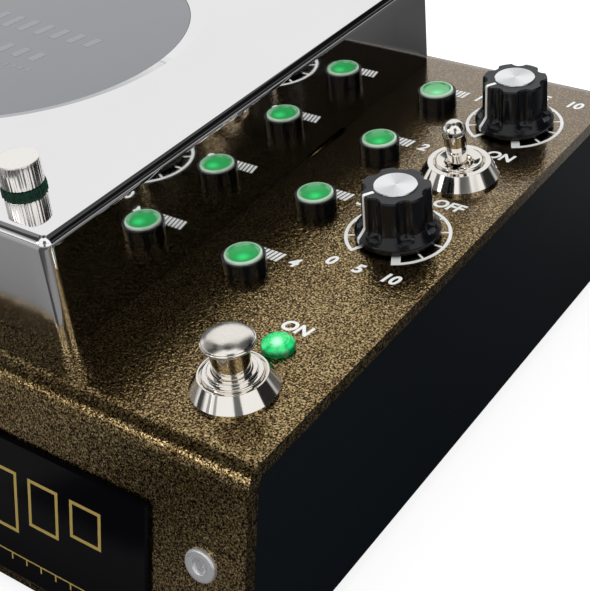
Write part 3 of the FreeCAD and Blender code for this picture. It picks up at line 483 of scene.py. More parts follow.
def hammertone_bronze():
    """Hammered bronze paint: dark wandering lines half a millimetre apart around gold-brown flakes,
    under a clear skin that ripples like orange peel. Towards the rear the lines and flakes fade and
    the skin is thicker, and the ground darkens to a deeper brown as painted shade."""
    made, tree, shader = material("hammertone_bronze", Metallic=1.0, Coat_Roughness=0.13, Coat_IOR=2.0)
    brown = (0.270, 0.176, 0.060)
    tan = (0.320, 0.222, 0.086)
    rear_shaded_brown = (0.165, 0.100, 0.036)
    dark = (0.020, 0.009, 0.002)
    flake = (0.80, 0.61, 0.33)
    spot = places(tree)
    blotch = noise(tree, 2500.0, 1.5, 0.55, spot, 0.3)
    fleck = noise(tree, 3900.0, 1.0, 0.5, spot)
    wide = noise(tree, 60.0, 2.0, 0.5, spot)
    peel = noise(tree, 900.0, 1.5, 0.5, spot, 0.15)
    # Towards the rear: the lines, flakes and relief fade, the skin thickens and the ground darkens as
    # painted shade
    smooth = step_between(tree, parts_of(tree, spot)["Y"], -0.01, 0.085)
    crisp = maths(tree, "MULTIPLY_ADD", smooth, -0.62, 1.0)
    line = times(tree, step_between(tree, blotch, 0.425, 0.525, 1.0, 0.0), crisp)
    gold = times(tree, step_between(tree, blotch, 0.52, 0.64), step_between(tree, fleck, 0.35, 0.62))
    ground = blend(tree, step_between(tree, wide, 0.4, 0.62), brown, tan)
    # Painted shade: the ground darkens to a deeper brown towards the rear
    ground = blend(tree, smooth, ground, rear_shaded_brown)
    colour = blend(tree, line, ground, dark)
    colour = blend(tree, times(tree, gold, crisp), colour, flake)
    put(tree, shader.inputs["Base Color"], colour)
    put(tree, shader.inputs["Roughness"], step_between(tree, blotch, 0.4, 0.6, 0.27, 0.20))
    height = maths(tree, "ADD", times(tree, blotch, 0.25), peel)
    put(tree, shader.inputs["Normal"], bump(tree, height, times(tree, crisp, 0.75), 0.00016))
    put(tree, shader.inputs["Coat Weight"], maths(tree, "MULTIPLY_ADD", smooth, 0.82, 0.08))
    put(tree, shader.inputs["Coat Normal"], bump(tree, peel, times(tree, crisp, 0.5), 0.00012))
    return made


def black_enamel():
    """Fine-textured black paint with a bluish cast, and a lighter grey towards the rear that is a painted
    reflection.
    """
    made, tree, shader = material("black_enamel", Specular_IOR_Level=0.22)
    feel = handled(tree, 9.0, 2600.0, 0.48, 0.56)
    black = blend(tree, feel["Smudge"], (0.0022, 0.0052, 0.0090), (0.0036, 0.0072, 0.0122))
    # Painted reflection: a lighter bluish grey towards the rear
    painted_rear_sheen = step_between(tree, parts_of(tree, places(tree))["Y"], -0.03, 0.08)
    put(tree, shader.inputs["Base Color"], blend(tree, painted_rear_sheen, black, (0.0098, 0.0128, 0.0158)))
    put(tree, shader.inputs["Roughness"], feel["Roughness"])
    put(tree, shader.inputs["Normal"], bump(tree, feel["Grain"], 0.25, 0.00008))
    return made


def mirror_chrome():
    """Polished chrome with the faintest smudges and polishing waves. The front wall is polished less
    finely than the rest."""
    made, tree, shader = material("mirror_chrome", Metallic=1.0)
    feel = handled(tree, 25.0, 900.0, 0.015, 0.045)
    chrome = blend(tree, feel["Smudge"], (0.90, 0.895, 0.90), (0.94, 0.935, 0.94))
    front_wall = step_between(tree, facing(tree)["Y"], -0.95, -0.6, 0.1, 0.0)
    put(tree, shader.inputs["Base Color"], chrome)
    put(tree, shader.inputs["Roughness"], maths(tree, "ADD", feel["Roughness"], front_wall))
    put(tree, shader.inputs["Normal"], bump(tree, noise(tree, 18.0, 1.0), 0.04, 0.0006))
    return made


def bright_nickel():
    """Slightly warm polished nickel."""
    feel = (160.0, 3500.0, 0.05, 0.11)
    return handled_finish("bright_nickel", feel, (0.88, 0.84, 0.78), (0.95, 0.92, 0.87), Metallic=1.0)


def satin_nickel():
    """The thumbscrews: pale nickel with a soft sheen."""
    feel = (160.0, 3500.0, 0.18, 0.26)
    grain = (0.03, 0.00004)
    return handled_finish("satin_nickel", feel, (0.96, 0.93, 0.87), (1.0, 0.98, 0.95), grain, Metallic=1.0)


def worn_nickel():
    """The footswitch head: satin and scuffed on top, polished at the rim and below it."""
    made, tree, shader = material("worn_nickel", Metallic=1.0)
    polish = 0.07
    head_foot = panel_top + 11.9
    head_start = panel_top + 12.2
    spot = places(tree)
    head = step_between(tree, parts_of(tree, spot)["Z"], head_foot / metre, head_start / metre)
    scuff = noise(tree, 1500.0, 5.0, 0.7, spot)
    cloud = noise(tree, 260.0, 3.0, 0.6, spot)
    satin = step_between(tree, cloud, 0.35, 0.65, 0.17, 0.27)
    rough = maths(tree, "MULTIPLY_ADD", head, maths(tree, "SUBTRACT", satin, polish), polish)
    put(tree, shader.inputs["Base Color"], blend(tree, scuff, (0.82, 0.77, 0.70), (0.98, 0.94, 0.88)))
    put(tree, shader.inputs["Roughness"], rough)
    put(tree, shader.inputs["Normal"], bump(tree, times(tree, head, scuff), 0.35, 0.00006))
    return made


def smoked_glass():
    """Smoked acrylic: a grey body under a glossy face."""
    gloss = {"IOR": 1.49, "Coat_Weight": 0.2, "Coat_Roughness": 0.02}
    feel = (22.0, 700.0, 0.05, 0.10)
    return handled_finish("smoked_glass", feel, (0.178, 0.185, 0.198), (0.196, 0.203, 0.215), **gloss)


def black_gloss():
    """Polished black sheet with fine wipe marks."""
    gloss = {"IOR": 1.5, "Specular_IOR_Level": 0.15}
    feel = (60.0, 1800.0, 0.06, 0.14)
    grain = (0.05, 0.00004)
    black = (0.0008, 0.0008, 0.0015)
    wiped = (0.0016, 0.0016, 0.0026)
    return handled_finish("black_gloss", feel, black, wiped, grain, **gloss)


def black_plastic():
    """Moulded black plastic: glossy upright sides, and flat tops with a grey satin bloom."""
    made, tree, shader = material("black_plastic", IOR=1.5, Specular_IOR_Level=0.38)
    feel = handled(tree, 300.0, 3000.0, 0.0, 1.0)
    top = step_between(tree, facing(tree)["Z"], 0.9, 0.98)
    side_rough = maths(tree, "MULTIPLY_ADD", feel["Roughness"], 0.08, 0.13)
    put(tree, shader.inputs["Base Color"], blend(tree, top, (0.0035, 0.004, 0.0055), (0.030, 0.031, 0.034)))
    put(tree, shader.inputs["Roughness"], maths(tree, "MULTIPLY_ADD", top, 0.30, side_rough))
    put(tree, shader.inputs["Normal"], bump(tree, feel["Grain"], 0.12, 0.00005))
    return made


def spun_aluminium():
    """Bright aluminium turned on a lathe: the grain runs round, along u of the piece's UV map. Two bright
    sectors with fine rays face each other: a bow-tie highlight painted into the colour."""
    stretch = {"Anisotropic": 0.85, "Anisotropic_Rotation": 0.25}
    made, tree, shader = material("spun_aluminium", Metallic=1.0, **stretch)
    tangent = add(tree, "ShaderNodeTangent", direction_type="UV_MAP", uv_map="UVMap").outputs["Tangent"]
    uv = add(tree, "ShaderNodeUVMap", uv_map="UVMap").outputs["UV"]
    grain = noise(tree, 1.0, 3.0, 0.6, stretched(tree, uv, 3.0, 400.0, 1.0))
    rays = noise(tree, 1.0, 2.0, 0.6, stretched(tree, uv, 60.0, 0.5, 1.0))
    # Painted highlight: two bright sectors with fine rays in the colour, a bow-tie that turns with the piece
    sectors = maths(tree, "COSINE", times(tree, parts_of(tree, uv)["X"], 4 * math.pi))
    painted_sheen = step_between(tree, maths(tree, "ADD", sectors, times(tree, rays, 1.2)), -0.8, 1.6)
    metal_with_painted_sheen = blend(tree, painted_sheen, (0.66, 0.67, 0.69), (0.97, 0.97, 0.98))
    put(tree, shader.inputs["Tangent"], tangent)
    put(tree, shader.inputs["Base Color"], blend(tree, times(tree, grain, 0.2), metal_with_painted_sheen, (1.0, 1.0, 1.0)))
    put(tree, shader.inputs["Roughness"], step_between(tree, grain, 0.3, 0.7, 0.13, 0.19))
    return made


def disc_places(tree):
    """The two flat places from -1 to 1 of a point of a lit piece, read from a UV map laid flat over it."""
    uv = parts_of(tree, add(tree, "ShaderNodeUVMap", uv_map="UVMap").outputs["UV"])
    return [maths(tree, "MULTIPLY_ADD", uv[name], 2.0, -1.0) for name in ("X", "Y")]


def far_from(tree, across, along, x=0.0, y=0.0):
    """How far a point of a lit piece is from a place on it: 1 from the middle to the edge."""
    off_x = maths(tree, "POWER", maths(tree, "SUBTRACT", across, x), 2.0)
    off_y = maths(tree, "POWER", maths(tree, "SUBTRACT", along, y), 2.0)
    return maths(tree, "SQRT", maths(tree, "ADD", off_x, off_y))


def lit_green():
    """A green cap lit from below: a saturated middle with a painted highlight towards the front, a
    duller ring where the dish rises, and a pale rim."""
    gloss = {"Coat_Weight": 1.0, "Coat_Roughness": 0.16, "Coat_IOR": 1.9}
    made, tree, shader = material("lit_cap", IOR=1.5, Roughness=0.3, Emission_Strength=0.9, **gloss)
    across, along = disc_places(tree)
    out = far_from(tree, across, along)
    # Painted highlight: a bright spot off the middle towards the front
    painted_highlight = step_between(tree, far_from(tree, across, along, 0.14, -0.2), 0.0, 0.5, 1.0, 0.0)
    cloud = noise(tree, 900.0, 3.0, 0.6)
    ring = step_between(tree, out, 0.50, 0.78)
    rim = step_between(tree, out, 0.82, 0.93)
    side = step_between(tree, out, 0.985, 1.0)
    glow = blend(tree, painted_highlight, (0.0, 0.25, 0.04), (0.03, 0.70, 0.17))
    glow = blend(tree, ring, glow, blend(tree, cloud, (0.02, 0.13, 0.04), (0.04, 0.20, 0.07)))
    glow = blend(tree, rim, glow, (0.07, 0.17, 0.09))
    glow = blend(tree, side, glow, (0.12, 0.12, 0.10))
    base = blend(tree, cloud, (0.02, 0.20, 0.06), (0.03, 0.28, 0.09))
    put(tree, shader.inputs["Base Color"], blend(tree, rim, base, (0.46, 0.58, 0.47)))
    put(tree, shader.inputs["Emission Color"], glow)
    return made


def lit_lamp():
    """A jewelled lamp: bright green with a near-white painted highlight, darker petals that run out from
    its middle and a dark edge."""
    gloss = {"Coat_Weight": 1.0, "Coat_Roughness": 0.04}
    made, tree, shader = material("lit_lamp", IOR=1.5, Roughness=0.12, Emission_Strength=1.0, **gloss)
    across, along = disc_places(tree)
    out = far_from(tree, across, along)
    angle = maths(tree, "ARCTAN2", along, across)
    cloud = noise(tree, 1100.0, 3.0, 0.6)
    wave = maths(tree, "SINE", maths(tree, "MULTIPLY_ADD", angle, 9.0, times(tree, out, 5.0)))
    petal = times(tree, step_between(tree, wave, -0.2, 0.9), step_between(tree, out, 0.15, 0.5))
    # Painted highlight: a near-white spot off the middle towards the front
    painted_highlight = step_between(tree, far_from(tree, across, along, 0.18, -0.26), 0.05, 0.5, 1.0, 0.0)
    edge = step_between(tree, out, 0.88, 1.0)
    glow = blend(tree, cloud, (0.0, 0.46, 0.10), (0.01, 0.62, 0.17))
    glow = blend(tree, times(tree, petal, 0.75), glow, (0.0, 0.24, 0.05))
    glow = blend(tree, painted_highlight, glow, (0.55, 1.0, 0.72))
    glow = blend(tree, edge, glow, (0.0, 0.07, 0.015))
    base = blend(tree, cloud, (0.0, 0.25, 0.07), (0.02, 0.38, 0.12))
    put(tree, shader.inputs["Base Color"], blend(tree, edge, base, (0.0, 0.06, 0.02)))
    put(tree, shader.inputs["Emission Color"], glow)
    return made


def stainless_steel():
    """Turned stainless steel."""
    feel = (200.0, 4000.0, 0.24, 0.38)
    grain = (0.1, 0.00004)
    dull = (0.80, 0.80, 0.82)
    bright = (0.90, 0.90, 0.91)
    return handled_finish("stainless_steel", feel, dull, bright, grain, Metallic=0.75)


def green_fibre():
    """Pressed dark green fibre with a ragged grain."""
    made, tree, shader = material("green_fibre", Specular_IOR_Level=0.3)
    fibre = noise(tree, 2200.0, 5.0, 0.75)
    strand = step_between(tree, fibre, 0.35, 0.7)
    put(tree, shader.inputs["Base Color"], blend(tree, strand, (0.0, 0.008, 0.004), (0.0, 0.075, 0.04)))
    put(tree, shader.inputs["Roughness"], step_between(tree, fibre, 0.3, 0.7, 0.35, 0.65))
    put(tree, shader.inputs["Normal"], bump(tree, fibre, 0.6, 0.0002))
    return made


def black_rubber():
    """Dull black rubber."""
    feel = (120.0, 2500.0, 0.7, 0.9)
    grain = (0.4, 0.0001)
    black = (0.010, 0.010, 0.011)
    worn = (0.022, 0.022, 0.023)
    return handled_finish("black_rubber", feel, black, worn, grain, Specular_IOR_Level=0.25)


def brown_oxide():
    """The recording band: satin brown with fine streaks round the drum."""
    made, tree, shader = material("brown_oxide", Specular_IOR_Level=0.4)
    lines = noise(tree, 1.0, 3.0, 0.6, stretched(tree, places(tree), 20.0, 20.0, 1600.0))
    put(tree, shader.inputs["Base Color"], blend(tree, lines, (0.060, 0.026, 0.014), (0.095, 0.045, 0.025)))
    put(tree, shader.inputs["Roughness"], step_between(tree, lines, 0.3, 0.7, 0.28, 0.42))
    return made


def zinc_plate():
    """Zinc-plated steel with a cloudy spangle."""
    made, tree, shader = material("zinc_plate", Metallic=1.0)
    spangle = add(tree, "ShaderNodeTexVoronoi", {"Vector": places(tree), "Scale": 420.0}).outputs["Color"]
    tone = add(tree, "ShaderNodeSeparateColor", {"Color": spangle}).outputs[0]
    put(tree, shader.inputs["Base Color"], blend(tree, tone, (0.48, 0.50, 0.52), (0.66, 0.67, 0.68)))
    put(tree, shader.inputs["Roughness"], step_between(tree, tone, 0.0, 1.0, 0.28, 0.42))
    return made


def bearing_bronze():
    """Turned bronze."""
    feel = (180.0, 3000.0, 0.22, 0.36)
    return handled_finish("bearing_bronze", feel, (0.55, 0.36, 0.14), (0.70, 0.48, 0.22), Metallic=1.0)


board_thickness = 1.6


def board_green():
    """A circuit board: green lacquer with copper tracks, and black parts above and below it. A point
    is on a board if its height lies between the foot and the top of one of them."""
    made, tree, shader = material("board_green", Specular_IOR_Level=0.5)
    spot = places(tree)
    height = parts_of(tree, spot)["Z"]
    half = board_thickness / 2
    masks = []
    for name in ("main_board", "side_boards"):
        middle = node_box(name)[0][2] + half
        away = maths(tree, "ABSOLUTE", maths(tree, "SUBTRACT", height, middle / metre))
        masks.append(maths(tree, "LESS_THAN", away, half / metre + 0.00002))
    tracks = add(tree, "ShaderNodeTexBrick", {
        "Vector": spot,
        "Color1": (0.012, 0.085, 0.03),
        "Color2": (0.016, 0.10, 0.036),
        "Mortar": (0.03, 0.17, 0.06),
        "Scale": 300.0,
        "Mortar Size": 0.06,
    }).outputs["Color"]
    on_board = maths(tree, "MAXIMUM", *masks)
    put(tree, shader.inputs["Base Color"], blend(tree, on_board, (0.012, 0.012, 0.013), tracks))
    put(tree, shader.inputs["Roughness"], step_between(tree, noise(tree, 800.0), 0.3, 0.7, 0.3, 0.45))
    return made


def ink(name, low, high, rough=0.5):
    """Screen-printed ink with a fine uneven edge to its tone."""
    made, tree, shader = material(name, Roughness=rough, Specular_IOR_Level=0.4)
    put(tree, shader.inputs["Base Color"], blend(tree, noise(tree, 1800.0, 3.0, 0.6), low, high))
    return made


def gold_ink():
    """Metallic gold print."""
    made, tree, shader = material("gold_ink", Metallic=0.35, Roughness=0.4)
    cloud = noise(tree, 1500.0, 3.0, 0.6)
    put(tree, shader.inputs["Base Color"], blend(tree, cloud, (0.52, 0.37, 0.09), (0.66, 0.49, 0.15)))
    return made


# Each finish is kept under its function's name, which is also the name of its material slot
finish = {}
for make in (
    hammertone_bronze, black_enamel, mirror_chrome, bright_nickel, smoked_glass, black_gloss,
    black_plastic, spun_aluminium, lit_green, stainless_steel, green_fibre, black_rubber,
    brown_oxide, zinc_plate, bearing_bronze, board_green,
):
    finish[make.__name__] = make()
lamp_green = lit_lamp()
switch_nickel = worn_nickel()
thumb_nickel = satin_nickel()
white_ink = ink("white_ink", (0.80, 0.81, 0.80), (0.92, 0.93, 0.92))
pale_ink = ink("pale_ink", (0.235, 0.25, 0.27), (0.275, 0.29, 0.31), 0.35)
gold_print = gold_ink()


def dress_cad_nodes():
    """Every CAD node takes the finish of its material slot."""
    for part in frame["record"]["subparts"]:
        mesh = frame["nodes"][part["node"]].data
        mesh.materials.clear()
        mesh.materials.append(finish[part["material_slot"]])


# Pieces


def cover_columns():
    """Foot points on the rectangle between the corner centres, outward directions and compass angles,
    once round. A side has many columns, and a corner has a few that share its centre."""
    half_x = cover_half - cover_bend
    half_y = (cover_rear_y - cover_front_y) / 2 - cover_bend
    corner = math.atan2(half_y, half_x)
    sides = [
        (-corner, corner, 0.0),
        (corner, math.pi - corner, math.pi / 2),
        (math.pi - corner, math.pi + corner, math.pi),
        (math.pi + corner, 2 * math.pi - corner, 3 * math.pi / 2),
    ]
    side_steps = 56
    corner_steps = 8
    feet = []
    directions = []
    angles = []
    for start, end, facing in sides:
        angle = np.linspace(start, end, side_steps + 1)
        to_side = half_x / np.maximum(np.abs(np.cos(angle)), 1e-9)
        to_end = half_y / np.maximum(np.abs(np.sin(angle)), 1e-9)
        reach = np.minimum(to_side, to_end)
        feet.append(np.stack([reach * np.cos(angle), reach * np.sin(angle)], axis=-1))
        directions.append(np.full(side_steps + 1, facing))
        angles.append(angle)
        turn = facing + np.linspace(0, math.pi / 2, corner_steps + 1)[1:-1]
        feet.append(np.repeat(feet[-1][-1:], corner_steps - 1, axis=0))
        directions.append(turn)
        angles.append(np.full(corner_steps - 1, end))
    feet.append(feet[0][:1])
    directions.append(directions[0][:1] + 2 * math.pi)
    angles.append(angles[0][:1] + 2 * math.pi)
    return np.concatenate(feet), np.concatenate(directions), np.concatenate(angles)


def bright_cover():
    """The mirror cover as one closed skin. Rows run from its foot up the outside, over the bend, in to
    the window's rim, through the window, back out under the top and down the inside. A row is an
    outline drawn in by an inset, or a circle round the window's centre, or a mix of the two. Heights
    are measured from the top, which falls a little to the back."""
    feet, directions, angles = cover_columns()
    middle_y = (cover_front_y + cover_rear_y) / 2
    lean = math.atan(cover_fall)
    hair = 0.05
    crest_width = 0.4
    crest_height = rim_height + 0.02

    def outline(inset, drop=None, foot=None):
        grow = cover_bend - inset
        x = feet[:, 0] + grow * np.cos(directions)
        y = middle_y + feet[:, 1] + grow * np.sin(directions)
        z = np.full_like(x, foot) if drop is None else cover_top(y) - drop
        return np.stack([x, y, z], axis=-1)

    def circle(radius, rise):
        x = radius * np.cos(angles)
        flat_y = radius * np.sin(angles)
        y = window_y + flat_y * math.cos(lean) + rise * math.sin(lean)
        z = cover_top(window_y) - flat_y * math.sin(lean) + rise * math.cos(lean)
        return np.stack([x, y, z], axis=-1)

    bend = np.linspace(0, math.pi / 2, 9)
    outside = [outline(0, foot=cover_foot), outline(0, drop=cover_bend + hair)]
    outside += [outline(cover_bend * (1 - math.cos(t)), drop=cover_bend * (1 - math.sin(t))) for t in bend]
    edge = outside[-1]
    foot_ring = circle(rim_foot, 0)
    outside += [edge + (foot_ring - edge) * share for share in (0.01, 0.3, 0.65, 0.97)]
    swell = np.linspace(0, 1, 13)
    flank = np.column_stack([
        rim_foot - (rim_foot - rim_crest - crest_width) * swell,
        crest_height * (1 - np.cos(math.pi * swell)) / 2,
    ])
    lip = rounded([
        (rim_crest + crest_width, crest_height, 0),
        (rim_crest - 0.1, rim_height, 0.4),
        (window_radius, 0.05, 0.12),
        (window_radius, -cover_sheet, 0),
    ])
    rim = np.concatenate([flank, lip[1:]])
    window = [circle(radius, rise) for radius, rise in rim]
    inner_bend = cover_bend - cover_sheet
    inside = [outline(cover_bend, drop=cover_sheet)]
    for t in bend:
        drop = cover_sheet + inner_bend * (1 - math.cos(t))
        inside.append(outline(cover_bend - inner_bend * math.sin(t), drop=drop))
    inside += [outline(cover_sheet, foot=cover_foot), outline(0, foot=cover_foot)]
    shapes = [grid(np.stack(outside + window + inside))]
    middle = rear_y - tab_back
    slack = 0.02
    for left in (-cover_half, cover_half - cover_sheet):
        low = (left + slack, middle - tab_length / 2, cover_foot - tab_drop)
        high = (left + cover_sheet - slack, middle + tab_length / 2, cover_foot + 1.0)
        shapes.append(block(low, high, 0.25))
    piece("cover_skin", merged(shapes), "cover", ["bright_cover"], "mirror_chrome", 50.0)


def knob_radius_at(angle, height):
    """Outside of a knob: the flared body or, where it is nearer, the side of a round flute. The flute
    is a circle seen from the axis, and it runs out over the skirt in an arch. The nearer of the two
    radii is taken with its corner softened."""
    body = np.interp(height, knob_heights, knob_radii)
    lobe = 2 * math.pi / flute_count
    off = (angle - knob_pointer) % lobe - lobe / 2
    middle = flute_circle * np.cos(off)
    chord = np.sqrt(np.maximum(flute_radius ** 2 - (flute_circle * np.sin(off)) ** 2, 0))
    flute = np.where(chord > 0, middle - chord, middle + 0.6)
    run_out = np.clip((arch_top - height) / arch_reach, 0, 1)
    past_arch = np.where(run_out >= 1, 5.0, 0.0)
    flute = flute + arch_reach * (1 - np.sqrt(1 - run_out ** 2)) + past_arch
    softness = 0.1
    gap = np.clip(0.5 + (body - flute) / (2 * softness), 0, 1)
    return body + (flute - body) * gap - softness * gap * (1 - gap)


# Heights and radii of a knob's body: an upright skirt, a flare and a slightly tapered top
flare = np.sin(np.linspace(0, math.pi / 2, 7))
flare_radii = flare_radius + (skirt_radius - flare_radius) * (1 - flare) ** 1.2
knob_heights = np.concatenate([[knob_lift], skirt_edge + flare_height * flare, [knob_height]])
knob_radii = np.concatenate([[skirt_radius], flare_radii, [knob_top_radius]])


def knob(name, x, y):
    """A fluted knob. Its rows run from the well under it round the skirt's foot, up the side, over the
    top edge along a quarter circle, in over the top and down to the insert's seat."""
    columns_per_flute = 44
    angle = knob_pointer + np.linspace(0, 2 * math.pi, flute_count * columns_per_flute + 1)
    skirt = [0.75, 1.2, 1.6, 1.85]
    rise = np.concatenate([skirt, np.linspace(2.0, 4.6, 20), np.linspace(5.2, knob_height - knob_edge, 6)])
    side = knob_radius_at(angle[None, :], rise[:, None])
    turn = np.linspace(0, math.pi / 2, 7)[1:, None]
    edge = side[-1] - knob_edge * (1 - np.cos(turn))
    edge_rise = knob_height - knob_edge * (1 - np.sin(turn[:, 0]))
    lid = edge[-1] * np.array([0.985, 0.85])[:, None]
    foot = rings([0.0, knob_well_radius, knob_well_radius, skirt_radius - 0.3, skirt_radius - 0.08], angle)
    foot_rise = [knob_well_height, knob_well_height, knob_lift, knob_lift, knob_lift + 0.1]
    seat = rings([knob_seat_radius, knob_seat_radius, 0.0], angle)
    top_rise = [knob_height] * 3 + [knob_height - knob_seat_depth] * 2
    radius = np.concatenate([foot, side, edge, lid, seat])
    height = panel_top + np.concatenate([foot_rise, rise, edge_rise, top_rise])
    shape = around(radius, height, angle, x, y)
    piece(name + "_knob_moulding", shape, name + "_dial", [name + "_knob"], "black_plastic", 38.0)


def knob_pointer_line(name, x, y):
    """The white line on a knob: from the insert over the top's edge, down the lobe and over the skirt."""
    edge_foot = knob_height - knob_edge
    rise = np.concatenate([[knob_height, knob_height], np.linspace(knob_height - 0.12, 0.75, 40)])
    outside = knob_radius_at(np.array([knob_pointer]), np.minimum(rise, edge_foot)[:, None])[:, 0]
    bend = np.clip((rise - edge_foot) / knob_edge, 0, 1)
    radius = outside - knob_edge * (1 - np.sqrt(1 - bend ** 2))
    radius[0] = knob_seat_radius + 0.3
    radius[1] = outside[1] - knob_edge
    along = np.stack([np.gradient(radius), np.gradient(rise)], axis=-1)
    along /= np.linalg.norm(along, axis=1)[:, None]
    out = np.stack([-along[:, 1], along[:, 0]], axis=-1)
    compass = np.array([math.cos(knob_pointer), math.sin(knob_pointer)])
    path = np.column_stack([x + radius * compass[0], y + radius * compass[1], panel_top + rise])
    up = np.column_stack([out[:, 0] * compass[0], out[:, 0] * compass[1], out[:, 1]])
    piece(name + "_pointer_line", ribbon(path, up, 0.85), name + "_dial", material=white_ink)


def knob_insert(name, x, y):
    """The turned disc in a knob's top: nearly flat, with a bevelled edge."""
    radius = knob_seat_radius - 0.05
    foot = knob_height - knob_seat_depth
    profile = rounded([
        (0, foot, 0),
        (radius, foot, 0),
        (radius, knob_height + 0.18, 0.1),
        (radius - 0.15, knob_height + 0.3, 0.08),
        (0, knob_height + 0.26, 0),
    ])
    shape = turned(profile, 96, x, y, panel_top)
    piece(name + "_turned_insert", shape, name + "_dial", [name + "_insert"], "spun_aluminium", 25.0)


def push_button(node, x, y):
    """A cap: straight sides, a rounded rim and a shallow dish, with a flange and a stem below. The
    stem ends where the CAD node's does."""
    stem_end = node_box(node)[0][2] - panel_top
    stem_radius = 2
    flange_foot = stem_end + 0.5
    flange_top = flange_foot + 0.95
    dish_edge = cap_height - 0.4
    sweep = np.linspace(0, 1, 9)[1:]
    bowl = [(dish_radius * (1 - t), dish_edge - 0.2 * math.sin(t * math.pi / 2)) for t in sweep]
    upper = rounded([
        (cap_radius, flange_top, 0),
        (cap_radius, cap_height, 0.4),
        (dish_radius + 0.4, cap_height, 0.2),
        (dish_radius, dish_edge, 0),
    ])
    stem = [(0, stem_end), (stem_radius, stem_end), (stem_radius, flange_foot)]
    flange = [(collar_radius, flange_foot), (collar_radius, flange_top), (cap_radius, flange_top + 0.05)]
    profile = np.concatenate([stem, flange, upper[1:], bowl])
    shape = laid_flat(turned(profile, 64, x, y, panel_top), x, y, cap_radius)
    piece(node + "_cap", shape, node.replace("_button", ""), [node], "lit_green")


def button_collars():
    """The black sleeves round the caps, each with a lip under the panel."""
    profile = rounded([
        (collar_bore, -4.0, 0),
        (collar_lip, -4.0, 0.1),
        (collar_lip, -3.05, 0.1),
        (collar_radius, -3.0, 0),
        (collar_radius, collar_height, 0.22),
        (collar_bore, collar_height, 0.12),
    ], closed=True)
    shapes = [turned(profile, 72, side * button_x, y, panel_top) for side in (-1, 1) for y in button_rows()]
    piece("collar_sleeves", merged(shapes), "case", ["button_collars"], "black_plastic")


def cone_nut(foot, top, bore, x, y):
    """A conical dress nut with a straight foot, a crisp edge and a flat top."""
    profile = rounded([
        (bore, 0, 0),
        (foot, 0, 0.05),
        (foot, nut_foot_height, 0.08),
        (top, nut_height, 0.14),
        (bore + 0.5, nut_height, 0.08),
        (bore, nut_height - 0.6, 0),
    ], closed=True)
    return turned(profile, 96, x, y, panel_top)


def dress_nuts():
    bore = bushing_radius + 0.05
    shapes = [cone_nut(8.8, 6.9, bore, x, y) for x, y in both_sides(control_x, footswitch_y)]
    shapes.append(cone_nut(9.1, 7.2, 5.45, control_x, toggle_y))
    piece("cone_nuts", merged(shapes), "case", ["dress_nuts"], "bright_nickel", 25.0)


def switch_body(profile, x, y, size, edge):
    """A switch's turned bushing, and its box under the panel."""
    half_x = size[0] / 2
    half_y = size[1] / 2
    low = (x - half_x, y - half_y, under_panel - size[2])
    high = (x + half_x, y + half_y, under_panel)
    return [turned(profile, 96, x, y, panel_top), block(low, high, edge)]


def footswitch_bodies():
    """Boxes, and bushings with a crest and a smaller lip inside it."""
    bore = neck_radius + 0.1
    profile = rounded([
        (bore, -8.0, 0),
        (bushing_radius, -8.0, 0),
        (bushing_radius, 4.4, 0.3),
        (4.95, 4.35, 0.12),
        (4.9, 5.1, 0.22),
        (bore, 5.1, 0.2),
    ], closed=True)
    shapes = []
    for x, y in both_sides(control_x, footswitch_y):
        shapes += switch_body(profile, x, y, (17.0, 17.0, 15.0), 0.6)
    piece("footswitch_bushings", merged(shapes), "case", ["footswitch_bodies"], "bright_nickel", 25.0)


def footswitch_head(side, x, y):
    """A plunger with a domed head. Below its rolled rim it sweeps in to the neck along a quarter of an
    ellipse. Above the rim a cubic curve through four control points rises to the crown, where it is
    level."""
    stem_foot = -7.6
    neck_top = 9.9
    under_reach = 1.2
    under_rise = 1.25
    rim_radius = 4.95
    rim_middle = 11.5
    roll_radius = 0.45
    t = np.linspace(0, 1, 24)[:, None]
    controls = np.array([(5.08, 11.95), (4.55, 12.55), (3.3, 13.5), (0.0, 13.5)])
    weights = ((1 - t) ** 3, 3 * (1 - t) ** 2 * t, 3 * (1 - t) * t ** 2, t ** 3)
    crown = sum(weight * control for weight, control in zip(weights, controls))
    sweep = np.linspace(0, math.pi / 2, 9)
    under = np.column_stack([
        neck_radius + under_reach * (1 - np.cos(sweep)),
        neck_top + under_rise * np.sin(sweep),
    ])
    stem = rounded([(0, stem_foot, 0), (neck_radius, stem_foot, 0.3), (neck_radius, neck_top - 0.05, 0)])
    roll = np.linspace(-0.9, 1.3, 10)
    rim = np.column_stack([rim_radius + roll_radius * np.cos(roll), rim_middle + roll_radius * np.sin(roll)])
    shape = turned(np.concatenate([stem, under, rim, crown]), 96, x, y, panel_top)
    node = "footswitch_button_" + side
    piece(node + "_plunger", shape, "footswitch_" + side, [node], "bright_nickel", 35.0, switch_nickel)


def status_lamps():
    """Domes with pressed rings: a flattened half round plus ripples that fade at its middle and edge."""
    stem_radius = 2.5
    stem_foot = -11
    seat = 0.02
    edge_height = 0.45
    dome_rise = 2.1
    ripple_depth = 0.045
    turn = np.linspace(0, math.pi / 2, 48)
    radius = lamp_radius * np.cos(turn)
    dome = edge_height + dome_rise * np.sin(turn)
    fade = np.clip(radius / 0.6, 0, 1) * np.sin(turn)
    ripple = ripple_depth * np.cos(radius * 2 * math.pi / lamp_ring_pitch) * fade
    crown = np.column_stack([radius, dome + ripple])
    stem = [(0, stem_foot), (stem_radius, stem_foot), (stem_radius, seat), (lamp_radius, seat)]
    profile = np.concatenate([stem, crown])
    shapes = []
    for x, y in both_sides(control_x, lamp_y):
        shapes.append(laid_flat(turned(profile, 64, x, y, panel_top), x, y, 3.5))
    piece("lamp_jewels", merged(shapes), "case", ["status_lamps"], "lit_green", material=lamp_green)


